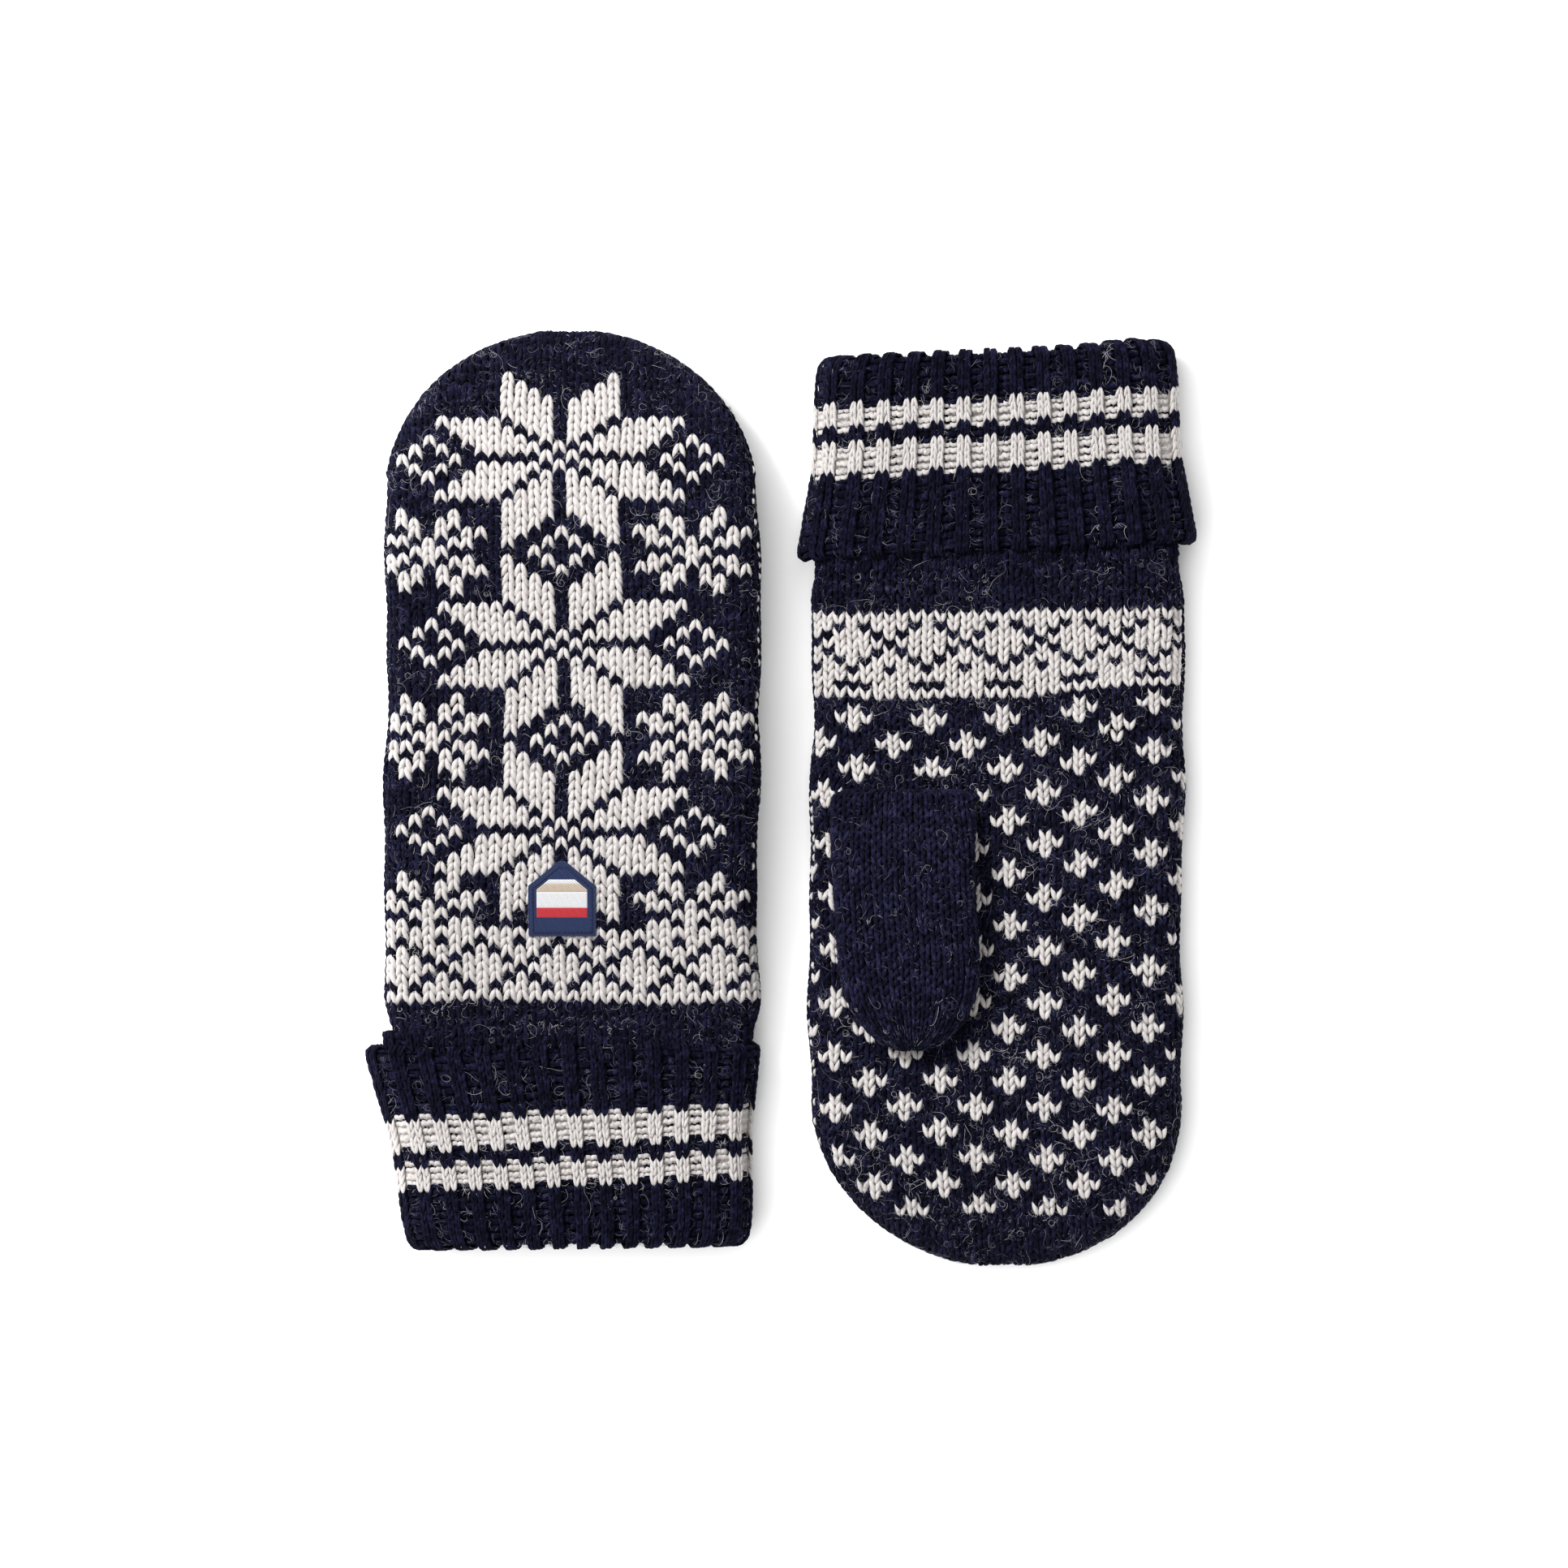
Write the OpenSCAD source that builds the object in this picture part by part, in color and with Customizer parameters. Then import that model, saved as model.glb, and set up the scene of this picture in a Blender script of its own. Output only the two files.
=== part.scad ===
// A pair of adult winter mittens, lying side by side and head to tail on a flat surface.
// The left mitten lies palm down with its thumb under it, the right one palm up with its thumb on top.
//
// Each mitten is drawn in its own frame: u runs across the hand with the thumb at +u, v runs from the
// folded edge of the cuff to the fingertip, and w runs up from the thumb's far face to the back of the hand.
// The knit and the lining are thick skins between two surfaces that are set in from one outer surface.

/* [Pair] */
// distance between the two mittens' centre lines
pair_spacing = 117.4; // [114:0.2:130]
// distance from the pair's middle to each folded cuff edge
cuff_to_middle = 125; // [120:1:135]

/* [Hand] */
// length from the folded cuff edge to the fingertip
mitten_length = 256; // [250:1:262]
// width of the hand laid flat
hand_width = 105.2; // [100:0.2:108]
// thickness of the hand laid flat
hand_thickness = 15; // [14.6:0.1:16]
// length of the rounded fingertip
fingertip_length = 48; // [40:1:56]
// thickness of the knit
knit_wall = 2.5; // [2.2:0.1:2.7]
// thickness of the fleece lining in the hand
lining_wall = 1.2; // [0.8:0.1:1.4]
// thickness and depth of the side seam
seam_size = 2.2; // [1.6:0.1:2.4]

/* [Cuff] */
// distance from the folded edge to where the ribbed sleeve meets the hand
sleeve_end = 58; // [57:0.5:60]
// thickness of the flattened sleeve
sleeve_thickness = 13; // [12.4:0.1:13.4]
// half the width of the sleeve at the folded edge
sleeve_half_width = 45.2; // [43:0.2:46]
// distance from the folded edge to the free edge of the turned-up cuff
turnup_length = 55; // [50:0.5:55.4]
// clearance between the sleeve and the turned-up cuff
turnup_gap = 0.3; // [0.3:0.05:0.5]

/* [Thumb] */
// distance from the folded edge to the slit the thumb grows out of
thumb_start = 124.7; // [122:0.1:128]
// length of the thumb
thumb_length = 70; // [64:1:72]
// width of the thumb
thumb_width = 39; // [36:0.5:40]
// thickness of the thumb
thumb_thickness = 11; // [10.6:0.1:11.4]
// distance of the thumb's middle from the hand's centre line
thumb_offset = 24.8; // [22:0.1:26]
// thickness of the thumb's knit
thumb_wall = 2.2; // [2:0.1:2.3]
// thickness of the fleece lining in the thumb
thumb_lining_wall = 0.9; // [0.7:0.1:1]
// width of the slit between the hand and the thumb
slit_width = 28; // [24:0.5:28]
// length of the slit along the hand
slit_length = 8; // [7:0.1:8.4]

/* [Label] */
// width of the woven label
label_width = 18.8; // [16:0.1:20]
// length of the label's straight sides
label_side = 14.3; // [12:0.1:16]
// length of the label with its pointed end
label_length = 21.3; // [19:0.1:23]
// distance from the folded edge to the label's straight end
label_start = 86.9; // [80:0.1:90]
// distance of the label's middle from the hand's centre line
label_offset = -2.4; // [-8:0.1:8]
// thickness of the label
label_thickness = 1; // [0.6:0.1:1.4]

/* [Output] */
// which piece to draw

/* [Hidden] */
navy = [0.09, 0.11, 0.22];
cream = [0.9, 0.88, 0.83];
grey = [0.55, 0.57, 0.62];

left = 0;
right = 1;
// gap left between two pieces of one mitten that touch
touch = 0.05;
// gap between the thumb and the palm it lies against
palm_gap = 0.3;
// heights of the middle of the thumb, the hand and the two cuffs
thumb_mid = thumb_thickness / 2;
hand_mid = thumb_thickness + palm_gap + hand_thickness / 2;
pair_height = hand_mid + hand_thickness / 2;
turnup_wall = knit_wall;
cuff_half = sleeve_thickness / 2 + turnup_gap + turnup_wall;
left_cuff_mid = cuff_half;
right_cuff_mid = pair_height - cuff_half;
// where the hand has risen from the cuff's height to its own
left_rise_end = thumb_start - 6;
right_rise_end = sleeve_end + 17;
// where each fingertip begins to bend down to the floor, and how far it drops
left_droop_start = thumb_start + thumb_length + 2;
left_droop = 10.3;
right_droop_start = mitten_length - 30;
right_droop = -3;
// how full the sections are: a higher power is a flatter face with rounder edges
hand_power = 10;
thumb_power = 5;
tip_power = 2.1;
arc_steps = 14;
thumb_tip_length = 26;
thumb_axis = thumb_start + thumb_thickness / 2;
slit_start = thumb_axis + 0.5;
// the ring of picked-up stitches round the slit
ring_width = 1.5;
seam_half = seam_size / 2;
// how far the free edge of the turned-up cuff stands out at the sides beyond the sleeve's own taper
lip_flare = 2.2;
stitch_inset = 1.6;
stitch_width = 0.7;
stitch_height = 0.5;

// share of a rounded end's size that is left at distance t of its length
function rounding(t, p) = t <= 0 ? 1 : t >= 1 ? 0 : sqrt(1 - pow(t, p));
function ease(t) = (1 - cos(180 * min(1, max(0, t)))) / 2;
function ramp(t) = min(1, max(0, t));

// height of the middle of the hand and cuff at v
function mid_w(side, v) =
  side == left
  ? left_cuff_mid + (hand_mid - left_cuff_mid) * ramp((v - sleeve_end - 4) / (left_rise_end - sleeve_end - 4))
    - left_droop * ease((v - left_droop_start) / (mitten_length - left_droop_start))
  : right_cuff_mid + (hand_mid - right_cuff_mid) * ramp((v - sleeve_end) / (right_rise_end - sleeve_end))
    - right_droop * ease((v - right_droop_start) / (mitten_length - right_droop_start));

// half the width and half the thickness of a surface set in by d from the outside of the hand
function sleeve_w(v) = sleeve_half_width + (hand_width / 2 - 1.8 - sleeve_half_width) * v / sleeve_end;
function body_w(v) =
  v < sleeve_end ? sleeve_w(v) : hand_width / 2 - 1.8 * (1 - ramp((v - sleeve_end) / 14));
function tip_t(v, d) = (v - mitten_length + fingertip_length) / (fingertip_length - d);
function hand_a(v, d) = (body_w(v) - d) * rounding(tip_t(v, d), tip_power);
function hand_b(v, d) =
  ((sleeve_thickness + (hand_thickness - sleeve_thickness) * ramp((v - sleeve_end) / 17)) / 2 - d)
  * rounding(tip_t(v, d), 4);
// heights of a panel's faces above the seam plane, which close on the seam at the fingertip
function panel_b(v, d) = seam_half + (hand_b(v, d) - seam_half) * rounding(tip_t(v, d), 4);

// half the width and thickness of a surface set in by d from the outside of the thumb
function thumb_tip_t(v, d) = (v - thumb_start - thumb_length + thumb_tip_length) / (thumb_tip_length - d);
function thumb_a(v, d) = (thumb_width / 2 - d) * rounding(thumb_tip_t(v, d), 2.2);
function thumb_b(v, d) =
  let (r = thumb_thickness / 2 - d)
  (v < thumb_axis ? sqrt(max(0, r * r - pow(thumb_axis - v, 2))) : r) * rounding(thumb_tip_t(v, d), 3);

// stations along the hand and the thumb for a surface set in by d
hand_steps = [
  sleeve_end + touch, sleeve_end + 4, right_rise_end, 92, 106, left_rise_end, 140, 160, 178, left_droop_start
];
tip_shares = [0, 0.2, 0.38, 0.52, 0.64, 0.75, 0.84, 0.91, 0.96, 0.99];
function hand_rows(first, d, rounds = len(tip_shares)) =
  [
    for (v = hand_steps) if (v > first + 1) v,
    for (i = [0:rounds - 1]) mitten_length - fingertip_length + tip_shares[i] * (fingertip_length - d)
  ];
function thumb_rows(d) =
  [
    for (q = [15:15:90]) thumb_axis - (thumb_thickness / 2 - d) * cos(q),
    thumb_start + (thumb_length - thumb_tip_length) * 0.6,
    for (s = [0, 0.3, 0.52, 0.7, 0.84, 0.93, 0.985])
      thumb_start + thumb_length - thumb_tip_length + s * (thumb_tip_length - d)
  ];

// one closed loop round a flat tube at height w and station v
function loop(v, w, a, b, p) =
  [
    for (k = [0:2 * arc_steps - 1])
      let (q = 180 * k / arc_steps, c = cos(q))
      [a * c, v, w + b * (sin(q) < 0 ? -1 : 1) * sqrt(max(0, 1 - pow(abs(c), p)))]
  ];
// an arch over half a flat tube, and the same arch at both of a panel's faces as one loop
function arch(v, w, a, low, high, sign) =
  [
    for (k = [0:arc_steps])
      let (c = cos(180 * k / arc_steps))
      [a * c, v, w + sign * (low + (high - low) * sqrt(max(0, 1 - pow(abs(c), hand_power))))]
  ];
function backwards(list) = [for (i = [len(list) - 1:-1:0]) list[i]];
function joined(lists) = [for (l = lists) for (x = l) x];

// triangles between consecutive loops of n points
function wrap(rows, n, close) =
  [
    for (i = [0:rows - (close ? 1 : 2)]) for (j = [0:n - 1])
      let (i2 = (i + 1) % rows, j2 = (j + 1) % n)
      each [
        [i * n + j, i2 * n + j2, i2 * n + j],
        [i * n + j, i * n + j2, i2 * n + j2]
      ]
  ];
// triangles over the end of a folded strip, whose loop goes out along one edge and back along the other
function strip_end(base, n, flip) =
  [
    for (j = [0:n / 2 - 2])
      let (a = base + j, b = base + j + 1, c = base + n - 2 - j, d = base + n - 1 - j)
      each (flip ? [[a, b, c], [a, c, d]] : [[a, c, b], [a, d, c]])
  ];

// a solid through loops of n points, its two ends closed as flat faces
module loft(loops) {
  n = len(loops[0]);
  last = (len(loops) - 1) * n;
  polyhedron(
    points = joined(loops),
    faces = concat(
      wrap(len(loops), n, false),
      [[for (j = [n - 1:-1:0]) j], [for (j = [0:n - 1]) last + j]]
    )
  );
}

// a solid through loops that come back to the first one, such as an open tube with a wall
module ring_loft(loops) {
  polyhedron(points = joined(loops), faces = wrap(len(loops), len(loops[0]), true));
}

// a thick open strip through folded loops, its ends closed along the strip
module strip_loft(loops) {
  n = len(loops[0]);
  polyhedron(
    points = joined(loops),
    faces = concat(
      wrap(len(loops), n, false),
      strip_end(0, n, false),
      strip_end((len(loops) - 1) * n, n, true)
    )
  );
}

// a prism between two heights over an outline that follows the hand's slope
module sloped_prism(side, outline, low, high) {
  loft([for (h = [low, high]) [for (p = outline) [p[0], p[1], back_w(side, p[1]) + h]]]);
}
function back_w(side, v) = mid_w(side, v) + hand_b(v, 0);

module place(side) {
  if (side == left) {
    translate([-pair_spacing / 2, -cuff_to_middle, 0]) children();
  } else {
    translate([pair_spacing / 2, cuff_to_middle, pair_height])
      mirror([1, 0, 0]) mirror([0, 1, 0]) mirror([0, 0, 1]) children();
  }
}

// half of the hand's knit, above (sign 1) or below (sign -1) the seam
module hand_panel(side, sign) {
  rows_out = hand_rows(0, 0);
  rows_in = hand_rows(0, knit_wall);
  loops = [
    for (i = [0:len(rows_out) - 1])
      let (
        vo = rows_out[i],
        vi = rows_in[i],
        closed = i == len(rows_out) - 1,
        outer = arch(vo, mid_w(side, vo), hand_a(vo, 0), seam_half, panel_b(vo, 0), sign),
        inner = arch(
          vi, mid_w(side, vi), hand_a(vi, knit_wall), seam_half,
          closed ? seam_half : panel_b(vi, knit_wall), sign
        )
      )
      concat(outer, backwards(inner))
  ];
  strip_loft(sign > 0 ? loops : [for (l = loops) backwards(l)]);
}

// the opening from the hand into the thumb, grown by g on each side
module slit(low, high, g) {
  translate([thumb_offset - slit_width / 2 - g, slit_start - g, low])
    cube([slit_width + 2 * g, slit_length + 2 * g, high - low]);
}

module back_panel(side) {
  color(navy) place(side) hand_panel(side, 1);
}

module palm_panel(side) {
  color(navy) place(side) difference() {
    hand_panel(side, -1);
    slit(thumb_thickness - 1, hand_mid - 1, ring_width + touch);
  }
}

// a band that runs up one side between the panels, over the fingertip and down the other side
module side_seam(side) {
  half = seam_half - touch;
  rows_out = hand_rows(0, 0);
  rows_in = hand_rows(0, knit_wall);
  n = len(rows_out);
  loops = [
    for (k = [0:2 * n - 1])
      let (
        i = k < n ? k : 2 * n - 1 - k,
        s = k < n ? -1 : 1,
        vo = rows_out[i],
        vi = rows_in[i],
        ao = s * hand_a(vo, 0),
        ai = s * hand_a(vi, knit_wall),
        wo = mid_w(side, vo),
        wi = mid_w(side, vi)
      )
      [[ao, vo, wo - half], [ai, vi, wi - half], [ai, vi, wi + half], [ao, vo, wo + half]]
  ];
  color(cream) place(side) loft(loops);
}

module cuff_sleeve(side) {
  rows = [2, 20, 40, sleeve_end - touch];
  outer = [for (v = rows) loop(v, mid_w(side, v), sleeve_w(v), hand_b(v, 0), hand_power)];
  inner = [
    for (v = rows) loop(v, mid_w(side, v), sleeve_w(v) - knit_wall, hand_b(v, knit_wall), hand_power)
  ];
  color(navy) place(side) ring_loft(concat(outer, backwards(inner)));
}

// half the width of the turned-up cuff's inner face
function turnup_w(v) = sleeve_w(v) + turnup_gap + lip_flare * pow(v / turnup_length, 3);
module cuff_turnup(side) {
  w = mid_w(side, 0);
  // each entry is a station, a half width and a half thickness, out along the outside and back along the inside
  inside_b = sleeve_thickness / 2 + turnup_gap;
  outside_b = inside_b + turnup_wall;
  section = [
    [0, sleeve_w(0) - 0.4, inside_b - 0.8],
    [0.9, sleeve_w(0) + 2.2, inside_b + 1.9],
    for (v = [3, 18, 34, turnup_length - 5, turnup_length - 1])
      [v, turnup_w(v) + turnup_wall, outside_b],
    [turnup_length, turnup_w(turnup_length) + turnup_wall - 1.2, outside_b - 1.2],
    for (v = [turnup_length - 1, turnup_length - 5, 34, 18, 1.6]) [v, turnup_w(v), inside_b],
    [1.55, sleeve_w(0) - knit_wall, inside_b - turnup_gap - knit_wall],
    [0.6, sleeve_w(0) - knit_wall, inside_b - turnup_gap - knit_wall]
  ];
  color(navy) place(side) ring_loft([for (s = section) loop(s[0], w, s[1], s[2], hand_power)]);
}

// a closed thumb-shaped body set in by d from the thumb's outside
module thumb_body(d) {
  loft([for (v = thumb_rows(d))
    [for (p = loop(v, thumb_mid, thumb_a(v, d), thumb_b(v, d), thumb_power)) p + [thumb_offset, 0, 0]]]);
}

module thumb_shell(side) {
  color(navy) place(side) difference() {
    thumb_body(0);
    thumb_body(thumb_wall);
    slit(thumb_mid, thumb_thickness + 1, 0);
  }
}

module thumb_lining(side) {
  color(grey) place(side) difference() {
    thumb_body(thumb_wall + touch);
    thumb_body(thumb_wall + touch + thumb_lining_wall);
    slit(thumb_mid, thumb_thickness + 1, 0);
  }
}

module thumb_seam(side) {
  low = thumb_thickness + palm_gap + touch;
  color(navy) place(side) difference() {
    slit(low, low + knit_wall - 2 * touch, ring_width);
    slit(low - 1, low + knit_wall + 1, 0);
  }
}

lining_start = sleeve_end + 3;
// loops round a surface of the lining set in by d, which stop one station short of the knit's closed tip
function lining_loops(side, d) =
  [
    for (v = concat([lining_start], hand_rows(lining_start, d, len(tip_shares) - 1)))
      loop(v, mid_w(side, v), hand_a(v, d), panel_b(v, d) - touch, hand_power)
  ];
module hand_lining(side) {
  outer = lining_loops(side, knit_wall + touch);
  inner = lining_loops(side, knit_wall + touch + lining_wall);
  color(grey) place(side) difference() {
    loft(concat(backwards(inner), outer));
    slit(thumb_thickness, hand_mid - 1, 0);
  }
}

// a ring of thread at the lining's open end
module lining_stitching(side) {
  outside = knit_wall + touch;
  rows = [sleeve_end + 0.6, lining_start - touch];
  outer = [for (v = rows) loop(v, mid_w(side, v), hand_a(v, outside), hand_b(v, outside), hand_power)];
  inner = [
    for (v = rows) loop(v, mid_w(side, v), hand_a(v, outside + 1), hand_b(v, outside + 1), hand_power)
  ];
  color(cream) place(side) ring_loft(concat(outer, backwards(inner)));
}

// the label's outline, a rectangle with a low pointed end towards the fingertip, set in by d
function label_outline(d) =
  let (h = label_width / 2 - d, slope = (label_length - label_side) / (label_width / 2))
  [
    [label_offset - h, label_start + d],
    [label_offset - h, label_start + label_side - d * 0.6],
    [label_offset, label_start + label_side - d * 0.6 + h * slope],
    [label_offset + h, label_start + label_side - d * 0.6],
    [label_offset + h, label_start + d]
  ];
module label_patch() {
  color(navy) place(left) sloped_prism(left, label_outline(0), touch, label_thickness);
}

module label_stitching() {
  low = label_thickness + touch;
  high = low + stitch_height;
  path = [[0, low], [0, high], [stitch_width, high], [stitch_width, low]];
  loops = [
    for (s = path)
      [for (p = label_outline(stitch_inset + s[0])) [p[0], p[1], back_w(left, p[1]) + s[1]]]
  ];
  color(cream) place(left) ring_loft(loops);
}

back_panel(left);  // left_back_panel
palm_panel(left);  // left_palm_panel
side_seam(left);  // left_side_seam
cuff_sleeve(left);  // left_cuff_sleeve
cuff_turnup(left);  // left_cuff_turnup
thumb_shell(left);  // left_thumb_shell
thumb_seam(left);  // left_thumb_seam
hand_lining(left);  // left_hand_lining
thumb_lining(left);  // left_thumb_lining
lining_stitching(left);  // left_lining_stitching
label_patch();  // left_label_patch
label_stitching();  // left_label_stitching
back_panel(right);  // right_back_panel
palm_panel(right);  // right_palm_panel
side_seam(right);  // right_side_seam
cuff_sleeve(right);  // right_cuff_sleeve
cuff_turnup(right);  // right_cuff_turnup
thumb_shell(right);  // right_thumb_shell
thumb_seam(right);  // right_thumb_seam
hand_lining(right);  // right_hand_lining
thumb_lining(right);  // right_thumb_lining
lining_stitching(right);  // right_lining_stitching
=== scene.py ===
import functools
import math

import bpy
import numpy as np
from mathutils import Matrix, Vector


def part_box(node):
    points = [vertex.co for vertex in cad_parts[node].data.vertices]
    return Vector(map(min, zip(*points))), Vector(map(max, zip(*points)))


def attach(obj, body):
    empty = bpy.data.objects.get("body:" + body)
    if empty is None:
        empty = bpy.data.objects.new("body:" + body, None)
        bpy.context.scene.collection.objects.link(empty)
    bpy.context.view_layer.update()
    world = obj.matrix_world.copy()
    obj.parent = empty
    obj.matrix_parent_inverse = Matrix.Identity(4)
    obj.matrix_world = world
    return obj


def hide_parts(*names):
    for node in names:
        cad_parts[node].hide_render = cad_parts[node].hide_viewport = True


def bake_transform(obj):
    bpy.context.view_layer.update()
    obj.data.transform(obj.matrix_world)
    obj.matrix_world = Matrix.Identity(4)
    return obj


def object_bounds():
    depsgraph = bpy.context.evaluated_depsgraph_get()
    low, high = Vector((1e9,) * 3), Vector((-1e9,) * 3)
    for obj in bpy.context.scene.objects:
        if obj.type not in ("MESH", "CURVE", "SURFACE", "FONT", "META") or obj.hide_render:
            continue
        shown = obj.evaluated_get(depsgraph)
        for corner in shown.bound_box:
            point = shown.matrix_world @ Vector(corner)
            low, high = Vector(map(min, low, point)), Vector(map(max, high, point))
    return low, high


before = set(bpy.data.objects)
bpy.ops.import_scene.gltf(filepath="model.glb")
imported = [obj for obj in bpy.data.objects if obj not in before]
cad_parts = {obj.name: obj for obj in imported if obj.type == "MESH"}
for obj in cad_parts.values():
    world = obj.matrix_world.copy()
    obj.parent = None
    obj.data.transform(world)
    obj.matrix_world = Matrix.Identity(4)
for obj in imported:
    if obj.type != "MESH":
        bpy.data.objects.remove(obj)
cad_lo, cad_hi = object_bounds()

# ---------------------------------------------------------------- camera

# in metres; the view is as wide as VIEW_WIDTH at the height of the mittens' upper faces
LENS_DISTANCE = 2.5
FACE_HEIGHT = 0.02
VIEW_WIDTH = 0.4395
VIEW_CENTRE = (0.0005, 0.0041)
SENSOR_WIDTH = 36
cam_data = bpy.data.cameras.new("camera")
cam_data.sensor_width = SENSOR_WIDTH
cam_data.lens = SENSOR_WIDTH * (LENS_DISTANCE - FACE_HEIGHT) / VIEW_WIDTH
cam = bpy.data.objects.new("camera", cam_data)
cam.location = (*VIEW_CENTRE, LENS_DISTANCE)
bpy.context.scene.collection.objects.link(cam)
bpy.context.scene.camera = cam

# ---------------------------------------------------------------- sizes, in millimetres

MM = 0.001


def box_mm(node):
    lo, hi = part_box(node)
    return np.array(lo) / MM, np.array(hi) / MM


LEFT, RIGHT = "left", "right"
cuff_lo, cuff_hi = box_mm("left_cuff_turnup")
hand_lo, hand_hi = box_mm("left_back_panel")
thumb_lo, thumb_hi = box_mm("left_thumb_shell")
palm_lo, palm_hi = box_mm("right_palm_panel")
PAIR_H = (cad_hi[2] - cad_lo[2]) / MM
X_LEFT = (hand_lo[0] + hand_hi[0]) / 2
X_RIGHT = (palm_lo[0] + palm_hi[0]) / 2
FOLD_Y = cuff_lo[1]
LENGTH = hand_hi[1] - FOLD_Y + 0.5
HAND_A = (hand_hi[0] - hand_lo[0]) / 2
CUFF_L = cuff_hi[1] - cuff_lo[1]
CUFF_MID = (cuff_lo[2] + cuff_hi[2]) / 2
HAND_B = 7.5
SLEEVE_B = 6.5
SLEEVE_END = hand_lo[1] - FOLD_Y
TIP_L = 48.0
HAND_MID = PAIR_H - HAND_B
THUMB_MID = (thumb_lo[2] + thumb_hi[2]) / 2
THUMB_A = (thumb_hi[0] - thumb_lo[0]) / 2
THUMB_B = THUMB_MID
THUMB_U = (thumb_lo[0] + thumb_hi[0]) / 2 - X_LEFT
THUMB_START = thumb_lo[1] - FOLD_Y - 0.2
THUMB_END = thumb_hi[1] - FOLD_Y + 0.5
# how far the yarn stands out past the fabric's surface at the mittens' sides
YARN_OUT = 1.3
# yarn below the first height is pressed towards the second one
PRESS_FROM, PRESS_TO = 0.5, 0.05

rng = np.random.default_rng(7)


def smooth(t):
    t = np.clip(t, 0, 1)
    return (1 - np.cos(np.pi * t)) / 2


def rounding(t, p):
    return np.sqrt(np.clip(1 - np.clip(t, 0, 1) ** p, 0, 1))


def unit(v):
    return v / np.maximum(np.linalg.norm(v, axis=-1, keepdims=True), 1e-9)


def to_row(side, p):
    """A mitten's own u, v, w in millimetres to the shared frame in metres, its lowest yarn pressed flat."""
    p = np.asarray(p, float)
    if side == LEFT:
        p = p + (X_LEFT, FOLD_Y, 0)
    else:
        p = np.array((X_RIGHT, -FOLD_Y, PAIR_H)) - p
    squeeze = PRESS_FROM - PRESS_TO
    pressed = PRESS_TO + squeeze * np.exp(np.minimum(p[..., 2] - PRESS_FROM, 0) / squeeze)
    p[..., 2] = np.where(p[..., 2] < PRESS_FROM, pressed, p[..., 2])
    return p * MM


# ---------------------------------------------------------------- the mittens' surfaces


def mid_w(side, v):
    if side == LEFT:
        rise = (v - SLEEVE_END - 2) / (THUMB_START - 8 - SLEEVE_END)
        droop = (v - THUMB_END - 2) / (LENGTH - THUMB_END - 2)
        return CUFF_MID + (HAND_MID - CUFF_MID) * smooth(rise) ** 0.92 - 10.3 * smooth(droop)
    cuff = PAIR_H - CUFF_MID
    return cuff + (HAND_MID - cuff) * smooth((v - SLEEVE_END) / 17) + 3 * smooth((v - LENGTH + 30) / 30)


def hand_centre(side, v):
    if side == LEFT:
        return -0.2 + 0.5 * np.sin(v / 21.0) - 0.5 * smooth((v - 225) / 30)
    return -1.7 + 0.5 * np.sin(v / 25.0 + 1) - 1.4 * smooth((v - 215) / 40)


# half widths: the sleeve where it folds, and how much narrower than the hand it ends
SLEEVE_A = 45.2
WRIST_IN = 1.8


def sleeve_a(v):
    return SLEEVE_A + (HAND_A - WRIST_IN - SLEEVE_A) * v / SLEEVE_END


def hand_a(side, v):
    widening = HAND_A - WRIST_IN * (1 - smooth((v - SLEEVE_END) / 12))
    body = np.where(v < SLEEVE_END, sleeve_a(v), widening) - YARN_OUT
    wobble = 0.35 * np.sin(v / 9.0) + 0.3 * np.sin(v / 5.1 + (1 if side == LEFT else 3))
    return (body + wobble * (v < 215)) * rounding((v - LENGTH + TIP_L) / TIP_L, 2.1)


def hand_b(side, v):
    b = SLEEVE_B + (HAND_B - SLEEVE_B) * smooth((v - SLEEVE_END) / 17)
    return 0.8 + (b - 0.8) * rounding((v - LENGTH + TIP_L) / TIP_L, 4)


# how square the flattened sections are: 2 is an ellipse
HAND_POWER = 10
THUMB_POWER = 5


def section(a, b, power, n=241):
    """Points round half of a flat tube's section, from the middle of its face to its edge and on round it."""
    k = np.linspace(0, 1, n)
    x = np.sin(k * np.pi / 2)
    z = np.sqrt(np.clip(1 - x**power, 0, 1))
    x, z = np.concatenate([x, x[-2::-1]]) * a, np.concatenate([z, -z[-2::-1]]) * b
    return x, z


class Surface:
    """A table of points and outward normals over s across the fabric and t along it, in millimetres."""

    def __init__(self, s, t, points, edge=None, period=None, flip=False):
        self.s, self.t, self.p, self.period = s, t, points, period
        self.edge = edge
        n = np.cross(np.gradient(points, axis=1), np.gradient(points, axis=0))
        self.n = unit(-n if flip else n)

    def at(self, s, t, out):
        """Points at s, t, raised along the normal by out, one height for all or one for each."""
        if self.period:
            s = (s - self.s[0]) % self.period + self.s[0]
        fs = np.clip((s - self.s[0]) / (self.s[1] - self.s[0]), 0, len(self.s) - 1.001)
        ft = np.clip((t - self.t[0]) / (self.t[1] - self.t[0]), 0, len(self.t) - 1.001)
        i, j = ft.astype(int), fs.astype(int)
        a, b = (ft - i)[..., None], (fs - j)[..., None]

        def between(g):
            before = g[i, j] * (1 - b) + g[i, j + 1] * b
            after = g[i + 1, j] * (1 - b) + g[i + 1, j + 1] * b
            return before * (1 - a) + after * a

        return between(self.p) + unit(between(self.n)) * np.asarray(out)[..., None]

    def edge_at(self, t):
        return np.interp(t, self.t, self.edge)


def run_length(*coordinates):
    """Length along a line of points from its first one, given its coordinates one by one."""
    steps = [np.diff(c) ** 2 for c in coordinates]
    return np.concatenate([[0], np.cumsum(np.sqrt(sum(steps)))])


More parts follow.
